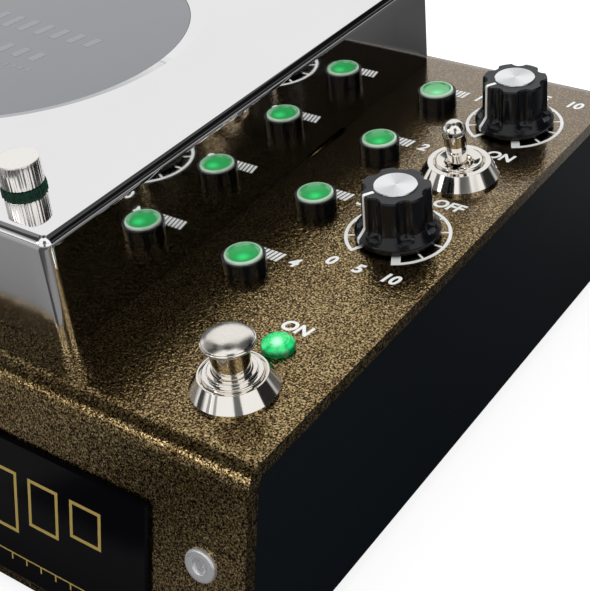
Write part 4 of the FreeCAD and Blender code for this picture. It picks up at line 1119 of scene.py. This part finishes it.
def toggle_body():
    """The toggle's box and its funnel-mouthed bushing."""
    profile = rounded([
        (2.68, -8.0, 0),
        (5.4, -8.0, 0),
        (5.4, 4.5, 0.3),
        (4.75, 4.5, 0.2),
        (3.3, 3.85, 0.3),
        (2.7, 2.3, 0),
    ], closed=True)
    shapes = switch_body(profile, control_x, toggle_y, (13.0, 14.0, 12.0), 0.5)
    piece("toggle_bushing", merged(shapes), "case", ["toggle_body"], "bright_nickel", 25.0)


def toggle_lever():
    """The bat-shaped lever, made upright about its pivot and leant to the front: a tail, a ball, a
    taper and a round tip."""
    pivot_height = 0.8
    lean = math.radians(10.0)
    tip = 12.1
    tip_radius = 2.72
    ball_radius = 2.6
    sweep = np.linspace(0.0, math.pi / 2, 18)
    end = np.column_stack([tip_radius * np.cos(sweep), tip + tip_radius * np.sin(sweep)])
    joint = np.linspace(-1.2, 0.78, 14)
    ball = np.column_stack([ball_radius * np.cos(joint), ball_radius * np.sin(joint)])
    taper = rounded([(1.85, 1.9, 0), (2.1, 3.7, 0), (tip_radius, 11.9, 0.2), (2.62, tip, 0)])
    bat = np.concatenate([[(0, -4.0), (0.9, -4.0)], ball, taper, end])
    points, faces, uv = turned(bat, 64)
    tilt = np.array(Matrix.Rotation(lean, 3, "X"))
    points = points @ tilt.T + np.array([control_x, toggle_y, panel_top + pivot_height])
    piece("toggle_bat", (points, faces, uv), "toggle", ["toggle_lever"], "bright_nickel", 25.0)


def thumbscrew(side, x, y):
    """A thumbscrew: its knurl is a ripple of the radius with sharp crests, drawn in at both ends."""
    ridges = 36
    depth = 0.075
    head_height = 5.6
    shank_radius = 2.0
    shank_foot = -14.0
    angle = np.linspace(0, 2 * math.pi, ridges * 6 + 1)
    crest = np.abs(np.cos(angle * ridges / 2))
    outer = np.array([4.1, 4.3, 4.45, 4.45, 4.42, 4.3])[:, None]
    share = np.array([0.0, 0.35, 1.0, 1.0, 0.5, 0.0])[:, None]
    side_rise = [0.0, 0.12, 0.4, 5.3, 5.52, head_height]
    knurl = outer - depth * share * (1 - crest)
    shank = rings([0.0, shank_radius, shank_radius], angle)
    lid = rings([4.15, shank_radius, 0.0], angle)
    lid_rise = [head_height, head_height - 0.03, head_height - 0.05]
    rise = [shank_foot, shank_foot, 0.0] + side_rise + lid_rise
    foot = thumb_seat() + washer_thickness + 0.05
    shape = around(np.concatenate([shank, knurl, lid]), foot + np.array(rise), angle, x, y)
    node = "thumbscrew_" + side
    piece(node + "_knurled", shape, node, [node], "bright_nickel", 50.0, thumb_nickel)


def thumb_seat():
    """Where a flat washer would lie: just clear of the highest point of the cover under it."""
    return cover_top(thumb_y - thumb_reach) + 0.05


def thumb_washers():
    """Fibre washers, a little ragged at their edges: the edge's radius has three ripples that don't
    repeat together. Their undersides follow the cover."""
    angle = np.linspace(0, 2 * math.pi, 241)
    ragged = 0.10 * np.cos(23 * angle) + 0.08 * np.sin(37 * angle + 1.0) + 0.07 * np.cos(61 * angle)
    hole_radius = 2.2
    edge_radius = 4.6
    inner = np.full_like(angle, hole_radius)
    outer = edge_radius + ragged * 0.7
    radius = np.stack([inner, outer - 0.05, outer, outer - 0.05, outer - 0.25 + ragged, inner, inner])
    share = np.array([0.0, 0.0, 0.3, 0.75, 1.0, 1.0, 0.0])[:, None]
    shapes = []
    for x, y in both_sides(thumb_x, thumb_y):
        px = x + radius * np.cos(angle)
        py = y + radius * np.sin(angle)
        foot = cover_top(py) + 0.01
        height = foot + (thumb_seat() + washer_thickness - foot) * share
        shapes.append(grid(np.stack([px, py, height], axis=-1)))
    piece("fibre_washers", merged(shapes), "cover", ["thumb_washers"], "green_fibre")


def on_face(points):
    """Put points made with X along the sloping face, Y up it and Z out of it, in place."""
    turn = math.pi / 2 - face_slope
    x, y, z = np.asarray(points, float).T
    back = y * math.cos(turn) - z * math.sin(turn)
    up = y * math.sin(turn) + z * math.cos(turn)
    return np.column_stack([x, bend_y + back, panel_top + up])


face_out = on_face([(0, 0, 1)])[0] - on_face([(0, 0, 0)])[0]


def case_screws():
    """Low screw heads with a hexagon socket. The socket's radius is half its width over the cosine
    of the angle from the middle of the nearest flat."""
    angle = np.linspace(0, 2 * math.pi, 73)
    hexagon = 1.0 / np.cos((angle % (math.pi / 3)) - math.pi / 6)
    head = [(3.6, 0.0), (3.6, 0.55), (3.55, 0.75), (3.4, 0.92), (3.15, 1.0), (1.75, 1.0), (1.65, 0.95)]
    outside = np.array([(0.0, -7.2), (2.0, -7.2), (2.0, 0.0)] + head)
    socket = np.array([(1.25, 0.6), (1.15, 0.5), (1.15, -0.9), (0.0, -1.0)])
    radius = np.concatenate([rings(outside[:, 0], angle), hexagon * socket[:, :1]])
    height = np.concatenate([outside[:, 1], socket[:, 1]])
    points, faces, uv = around(radius, height, angle)
    px, py, pz = points.T
    shapes = []
    for side in (-1, 1):
        x = side * (case_width / 2 - screw_inset)
        front = on_face(points + np.array([x, -screw_drop, 0]))
        back = np.column_stack([x - px, rear_y + pz, panel_top - screw_drop + py])
        shapes += [(front, faces, uv), (back, faces, uv)]
    piece("socket_head_screws", merged(shapes), "case", ["case_screws"], "stainless_steel")


# Prints


def words(text, height, lean=0.18):
    """Thin letters in millimetres, with capitals of the height given, from a text object's mesh."""
    capital_share = 0.69
    curve = bpy.data.curves.new("print_text", "FONT")
    curve.body = text
    curve.size = 1.0
    curve.extrude = 0.008
    curve.offset = 0.035
    curve.shear = lean
    curve.align_x = "CENTER"
    holder = placed("print_text", curve)
    bpy.context.view_layer.update()
    mesh = bpy.data.meshes.new_from_object(holder.evaluated_get(bpy.context.evaluated_depsgraph_get()))
    mesh.calc_loop_triangles()
    points = np.array([vertex.co[:] for vertex in mesh.vertices])
    faces = np.array([triangle.vertices[:] for triangle in mesh.loop_triangles])
    bpy.data.objects.remove(holder)
    return points * height / capital_share, faces


def text_piece(name, items, body, ink_used):
    """Words set on the panel: (text, x, y) with x at the middle and y at the foot."""
    all_points = []
    all_faces = []
    start = 0
    for text, x, y in items:
        points, faces = words(text, caption_height)
        all_points.append(points + np.array([x, y, panel_top + print_lift]))
        all_faces.append(faces + start)
        start += len(points)
    mesh = bpy.data.meshes.new(name)
    mesh.from_pydata((np.concatenate(all_points) / metre).tolist(), [], np.concatenate(all_faces).tolist())
    mesh.materials.append(ink_used)
    made = placed(name, mesh)
    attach(made, body)


def panel_words():
    """Generic captions: numbers by the dials, a row of strokes and a number by each button, and ON and
    OFF by the switches."""
    scale = "0    5    10"
    strokes = "IIIIIIIIII  "
    before_dial = 16.3
    behind_dial = 12.9
    behind_button = 5.3
    before_toggle = 13.6
    behind_toggle = 10.2
    items = []
    for side in (-1, 1):
        x = side * control_x
        items.append((scale, x + 0.4, front_dial_y - before_dial))
        items.append((scale, x + 2.0, rear_dial_y + behind_dial))
        items.append(("ON", x - 0.5, lamp_y + behind_button))
        for i, y in enumerate(button_rows()):
            items.append((strokes + str(i + 1), side * button_x + 1.5, y + behind_button))
    items.append(("ON", control_x + 4.0, toggle_y + behind_toggle))
    items.append(("OFF", control_x + 4.0, toggle_y - before_toggle))
    text_piece("panel_captions", items, "case", white_ink)


def dial_ring(x, y):
    """A printed scale: an open ring, a long tick at its start, nine short ones and a block at its end."""
    start = math.radians(-120.0)
    end = math.radians(-60.0 - 360.0)
    step = math.radians(30.0)
    sweep = np.linspace(start - 0.02, end + 0.02, 90)
    up = (0, 0, 1)
    base = panel_top + print_lift
    # Inner radius, outer radius and width
    long_tick = (8.6, 11.6, 0.85)
    short_tick = (9.1, 11.0, 0.5)
    end_block = (8.6, 11.65, 2.0)

    def ray(angle, inner, outer, width):
        path = [(x + r * math.cos(angle), y + r * math.sin(angle), base) for r in (inner, outer)]
        return ribbon(path, up, width, thickness=0.04)

    arc = [x + ring_radius * np.cos(sweep), y + ring_radius * np.sin(sweep), np.full_like(sweep, base)]
    shapes = [ribbon(np.column_stack(arc), up, print_width), ray(start, *long_tick)]
    shapes += [ray(start - step * i, *short_tick) for i in range(1, 10)]
    shapes.append(ray(math.radians(-61.0), *end_block))
    return merged(shapes)


def dial_prints():
    shapes = [dial_ring(*node_centre(name + "_knob")) for name in dials]
    piece("dial_scales", merged(shapes), "case", material=white_ink)


def bar_outline(x, foot, width, height):
    """Corners of an upright bar."""
    return [(x, foot), (x + width, foot), (x + width, foot + height), (x, foot + height)]


def plate_print():
    """The plate's generic design: four groups of outlined bars that grow shorter like repeats, over a
    thin line with small ticks."""
    groups = 4
    group_pitch = 49.0
    group_inset = 5.5
    bar_pitch = 11.6
    bar_width = 7.6
    tallest = 18.5
    shrink = 0.76
    tick_pitch = 4.2
    rule_inset = 8.0
    lift = plate_thickness + print_lift
    bars_top = -plate_drop - 7.5
    half = case_width / 2 - plate_side
    shapes = []
    for group in range(groups):
        start = half - group_inset - (groups - group) * group_pitch
        for i in range(4):
            tall = tallest * shrink ** i
            corners = bar_outline(start + i * bar_pitch, bars_top - tall, bar_width, tall)
            path = on_face([(x, y, lift) for x, y in corners])
            shapes.append(ribbon(path, face_out, print_width, closed=True))
    low = -plate_drop - plate_height + 4.0
    end = half - rule_inset
    rule = on_face([(-end, low + 1.6, lift), (end, low + 1.6, lift)])
    shapes.append(ribbon(rule, face_out, 0.3))
    for x in np.arange(-end, end + 1.0, tick_pitch):
        tick = on_face([(x, low, lift), (x, low + 1.5, lift)])
        shapes.append(ribbon(tick, face_out, 0.35))
    piece("plate_bars", merged(shapes), "case", material=gold_print)


def window_print():
    """Pale bars on the window, in two rows that grow shorter to the right, and a row of ticks."""
    lean = math.atan(cover_fall)
    up = np.array([0, math.sin(lean), math.cos(lean)])
    shrink = 0.93
    slant = 0.105
    bar_pitch = 5.6
    bar_width = 2.3
    tick_pitch = 2.4
    tick_foot = -14.2
    tick_top = -12.9
    middle_height = cover_top(window_y) + print_lift
    # Foot, height, start and number of bars of each row
    rows = ((2.0, 8.0, -24.0, 9), (-9.5, 6.5, -20.0, 7))

    def stripe(ends, width):
        path = [(x, window_y + y * math.cos(lean), middle_height - y * math.sin(lean)) for x, y in ends]
        return ribbon(path, up, width, thickness=0.03)

    shapes = []
    for foot, tall, start, count in rows:
        for i in range(count):
            x = start + i * bar_pitch
            top = (x + slant * tall, foot + tall * shrink ** i)
            shapes.append(stripe([(x, foot), top], bar_width))
    for i in range(16):
        x = -19.0 + i * tick_pitch
        shapes.append(stripe([(x, tick_foot), (x, tick_top)], 0.8))
    piece("window_bars", merged(shapes), "cover", material=pale_ink)


# Build


def build():
    dress_cad_nodes()
    bright_cover()
    for name in dials:
        x, y = node_centre(name + "_knob")
        knob(name, x, y)
        knob_pointer_line(name, x, y)
        knob_insert(name, x, y)
    for column in ("feedback", "playback"):
        for i in range(1, button_count + 1):
            node = f"{column}_button_{i}"
            push_button(node, *node_centre(node))
    button_collars()
    dress_nuts()
    footswitch_bodies()
    for side, x in (("left", -control_x), ("right", control_x)):
        footswitch_head(side, x, footswitch_y)
    status_lamps()
    toggle_body()
    toggle_lever()
    for side, x in (("left", -thumb_x), ("right", thumb_x)):
        thumbscrew(side, x, thumb_y)
    thumb_washers()
    case_screws()
    panel_words()
    dial_prints()
    plate_print()
    window_print()


# Studio


def ray_masks(tree):
    """Whether a ray comes from the camera, and whether it comes from a polished or clear part."""
    rays = add(tree, "ShaderNodeLightPath").outputs
    return rays["Is Camera Ray"], maths(tree, "MAXIMUM", rays["Is Glossy Ray"], rays["Is Transmission Ray"])


def floor():
    """A white floor that keeps the shadow. The camera sees it mostly by its own light. Polished parts
    see it dark close to the case and lighter further out. It is brighter before and behind the case
    than beside it, but with two dark patches there on the right, and brighter far to both sides."""
    own_light = 0.8
    grey = (0.36, 0.36, 0.36)
    reach = 4.0
    corners = [(-reach, -reach, 0), (reach, -reach, 0), (reach, reach, 0), (-reach, reach, 0)]
    mesh = bpy.data.meshes.new("floor")
    mesh.from_pydata(corners, [], [(0, 1, 2, 3)])
    white, tree, shader = material("floor_white", Roughness=0.9, Specular_IOR_Level=0.0)
    camera_ray, polished = ray_masks(tree)
    x, y, z = parts_of(tree, places(tree))

    def beyond(place, side):
        """How far a place is outside the case, in metres."""
        past = maths(tree, "SUBTRACT", maths(tree, "ABSOLUTE", place), side / metre)
        return maths(tree, "MAXIMUM", past, 0.0)

    beyond_x = beyond(x, case_width / 2)
    beyond_y = beyond(y, rear_y)
    beside = step_between(tree, beyond_x, -0.01, 0.06, 0.02, 0.09)
    right = times(tree, step_between(tree, x, 0.015, 0.03), step_between(tree, x, 0.06, 0.07, 1.0, 0.0))
    close = times(tree, right, step_between(tree, beyond_y, 0.04, 0.05))
    distant = times(tree, step_between(tree, x, -0.01, 0.025), step_between(tree, beyond_y, 0.085, 0.095))
    shade = maths(tree, "MULTIPLY_ADD", maths(tree, "MAXIMUM", close, distant), -0.8, 1.0)
    before = step_between(tree, beyond_y, -0.01, 0.06, 0.02, 0.24)
    before = maths(tree, "ADD", before, step_between(tree, beyond_y, 0.085, 0.12, 0.0, 0.12))
    near = maths(tree, "MAXIMUM", beside, times(tree, before, shade))
    mirrored = maths(tree, "ADD", near, step_between(tree, beyond_x, 0.3, 1.0, 0.0, 0.4))
    seen = times(tree, camera_ray, own_light)
    glow = maths(tree, "MAXIMUM", seen, times(tree, polished, mirrored))
    put(tree, shader.inputs["Base Color"], blend(tree, polished, grey, (0.0, 0.0, 0.0)))
    put(tree, shader.inputs["Emission Color"], (1.0, 1.0, 1.0))
    put(tree, shader.inputs["Emission Strength"], glow)
    mesh.materials.append(white)
    made = placed("floor", mesh)


# What polished parts see round the object: (compass angle, half width, low, high, softness, brightness),
# angles in degrees, anticlockwise from +X seen from above. A later panel covers an earlier one.
studio_panels = (
    # A dark one overhead, and a wide white one behind that the panel and the cover's top show
    (0.0, 190.0, 79.0, 95.0, 3.0, 0.02),
    (125.0, 43.0, -20.0, 68.0, 3.0, 0.86),
    # Dark ones behind to the right, which the cover's right wall and the paint beside it show
    (50.0, 36.0, 17.0, 43.0, 3.0, 0.006),
    (50.0, 36.0, 43.0, 66.0, 3.0, 0.06),
    (50.0, 34.0, 2.0, 17.0, 3.0, 0.22),
    # Dark ones and a narrow bright one before the left, for the front fold, face and knobs
    (203.0, 27.0, 52.0, 64.0, 3.0, 0.05),
    (222.0, 18.0, 28.0, 51.0, 3.0, 0.04),
    (225.0, 40.0, -12.0, 5.0, 2.0, 0.06),
    (245.0, 9.0, 8.0, 30.0, 3.0, 4.2),
    # White ones with dark gaps round the right and front, for the nuts, bushings and thumbscrews
    (-89.0, 27.0, 24.0, 78.0, 3.0, 0.95),
    (-6.0, 20.0, 24.0, 78.0, 3.0, 0.95),
    (-44.0, 18.0, 52.0, 78.0, 3.0, 0.95),
    (-44.0, 14.0, 27.0, 52.0, 2.0, 0.1),
    (-47.5, 9.5, -10.0, 25.0, 2.0, 0.14),
    (-12.5, 25.5, -10.0, 23.0, 1.5, 0.92),
    (33.0, 20.0, -10.0, 17.0, 1.5, 0.02),
    (-86.0, 29.0, 6.0, 23.0, 1.5, 0.92),
    (-103.0, 3.5, 6.0, 23.0, 1.5, 0.35),
    (-119.5, 4.5, 6.0, 17.0, 1.0, 0.35),
    (-131.5, 7.5, 6.0, 17.0, 1.0, 0.92),
    (-145.0, 6.0, -10.0, 17.0, 1.5, 0.05),
)


def studio():
    """The world: white to the camera, an even light for dull surfaces, and soft white panels and dark
    gaps round the object for the polished ones."""
    even_light = 0.92
    degree = 180 / math.pi
    world = bpy.data.worlds.new("studio")
    bpy.context.scene.world = world
    world.use_nodes = True
    world.cycles.sampling_method = "NONE"
    tree = world.node_tree
    x, y, z = parts_of(tree, add(tree, "ShaderNodeTexCoord").outputs["Generated"])
    compass = times(tree, maths(tree, "ARCTAN2", y, x), degree)
    height = times(tree, maths(tree, "ARCSINE", z), degree)
    brightness = step_between(tree, height, 10.0, 40.0, 0.55, 0.22)
    for middle, half, low, high, soft, value in studio_panels:
        turn = maths(tree, "WRAP", maths(tree, "SUBTRACT", compass, middle), -180.0, 180.0)
        sideways = step_between(tree, maths(tree, "ABSOLUTE", turn), half - soft, half + soft, 1.0, 0.0)
        above = step_between(tree, height, low - soft, low + soft)
        below = step_between(tree, height, high - soft, high + soft, 1.0, 0.0)
        mask = times(tree, sideways, times(tree, above, below))
        change = maths(tree, "SUBTRACT", value, brightness)
        brightness = maths(tree, "MULTIPLY_ADD", mask, change, brightness)
    camera_ray, polished = ray_masks(tree)
    swing = maths(tree, "SUBTRACT", brightness, even_light)
    level = maths(tree, "MULTIPLY_ADD", polished, swing, even_light)
    level = maths(tree, "MULTIPLY_ADD", camera_ray, maths(tree, "SUBTRACT", 1.0, level), level)
    background = tree.nodes["Background"]
    put(tree, background.inputs["Color"], (1.0, 1.0, 1.0))
    put(tree, background.inputs["Strength"], level)


def key_light():
    """A large soft lamp, high and behind to the left, that polished parts don't see."""
    lamp = bpy.data.lights.new("key", "AREA")
    lamp.shape = "SQUARE"
    lamp.size = 0.9
    lamp.energy = 8.0
    made = placed("key", lamp)
    made.location = (-0.62, 0.76, 1.05)
    made.rotation_euler = (-Vector(made.location)).to_track_quat("-Z", "Y").to_euler()
    made.visible_glossy = False


def camera():
    """The photograph's viewpoint. The angles are its turn about the upright axis, its dip and its roll,
    and its place is in millimetres."""
    turn = math.radians(39.109)
    dip = math.radians(36.249)
    roll = math.radians(-6.534)
    place = Vector((236.87, -192.355, 212.413))
    forward = Vector((-math.sin(turn) * math.cos(dip), math.cos(turn) * math.cos(dip), -math.sin(dip)))
    level_right = Vector((math.cos(turn), math.sin(turn), 0))
    level_down = forward.cross(level_right)
    right = level_right * math.cos(roll) - level_down * math.sin(roll)
    down = level_right * math.sin(roll) + level_down * math.cos(roll)
    lens = bpy.data.cameras.new("camera")
    lens.sensor_width = 36.0
    lens.lens = 78.94
    lens.clip_start = 0.01
    made = placed("camera", lens)
    stance = Matrix((right, -down, -forward)).transposed().to_4x4()
    stance.translation = place / metre
    made.matrix_world = stance
    bpy.context.scene.camera = made


build()
floor()
studio()
key_light()
camera()
bpy.context.scene.view_settings.view_transform = "Standard"
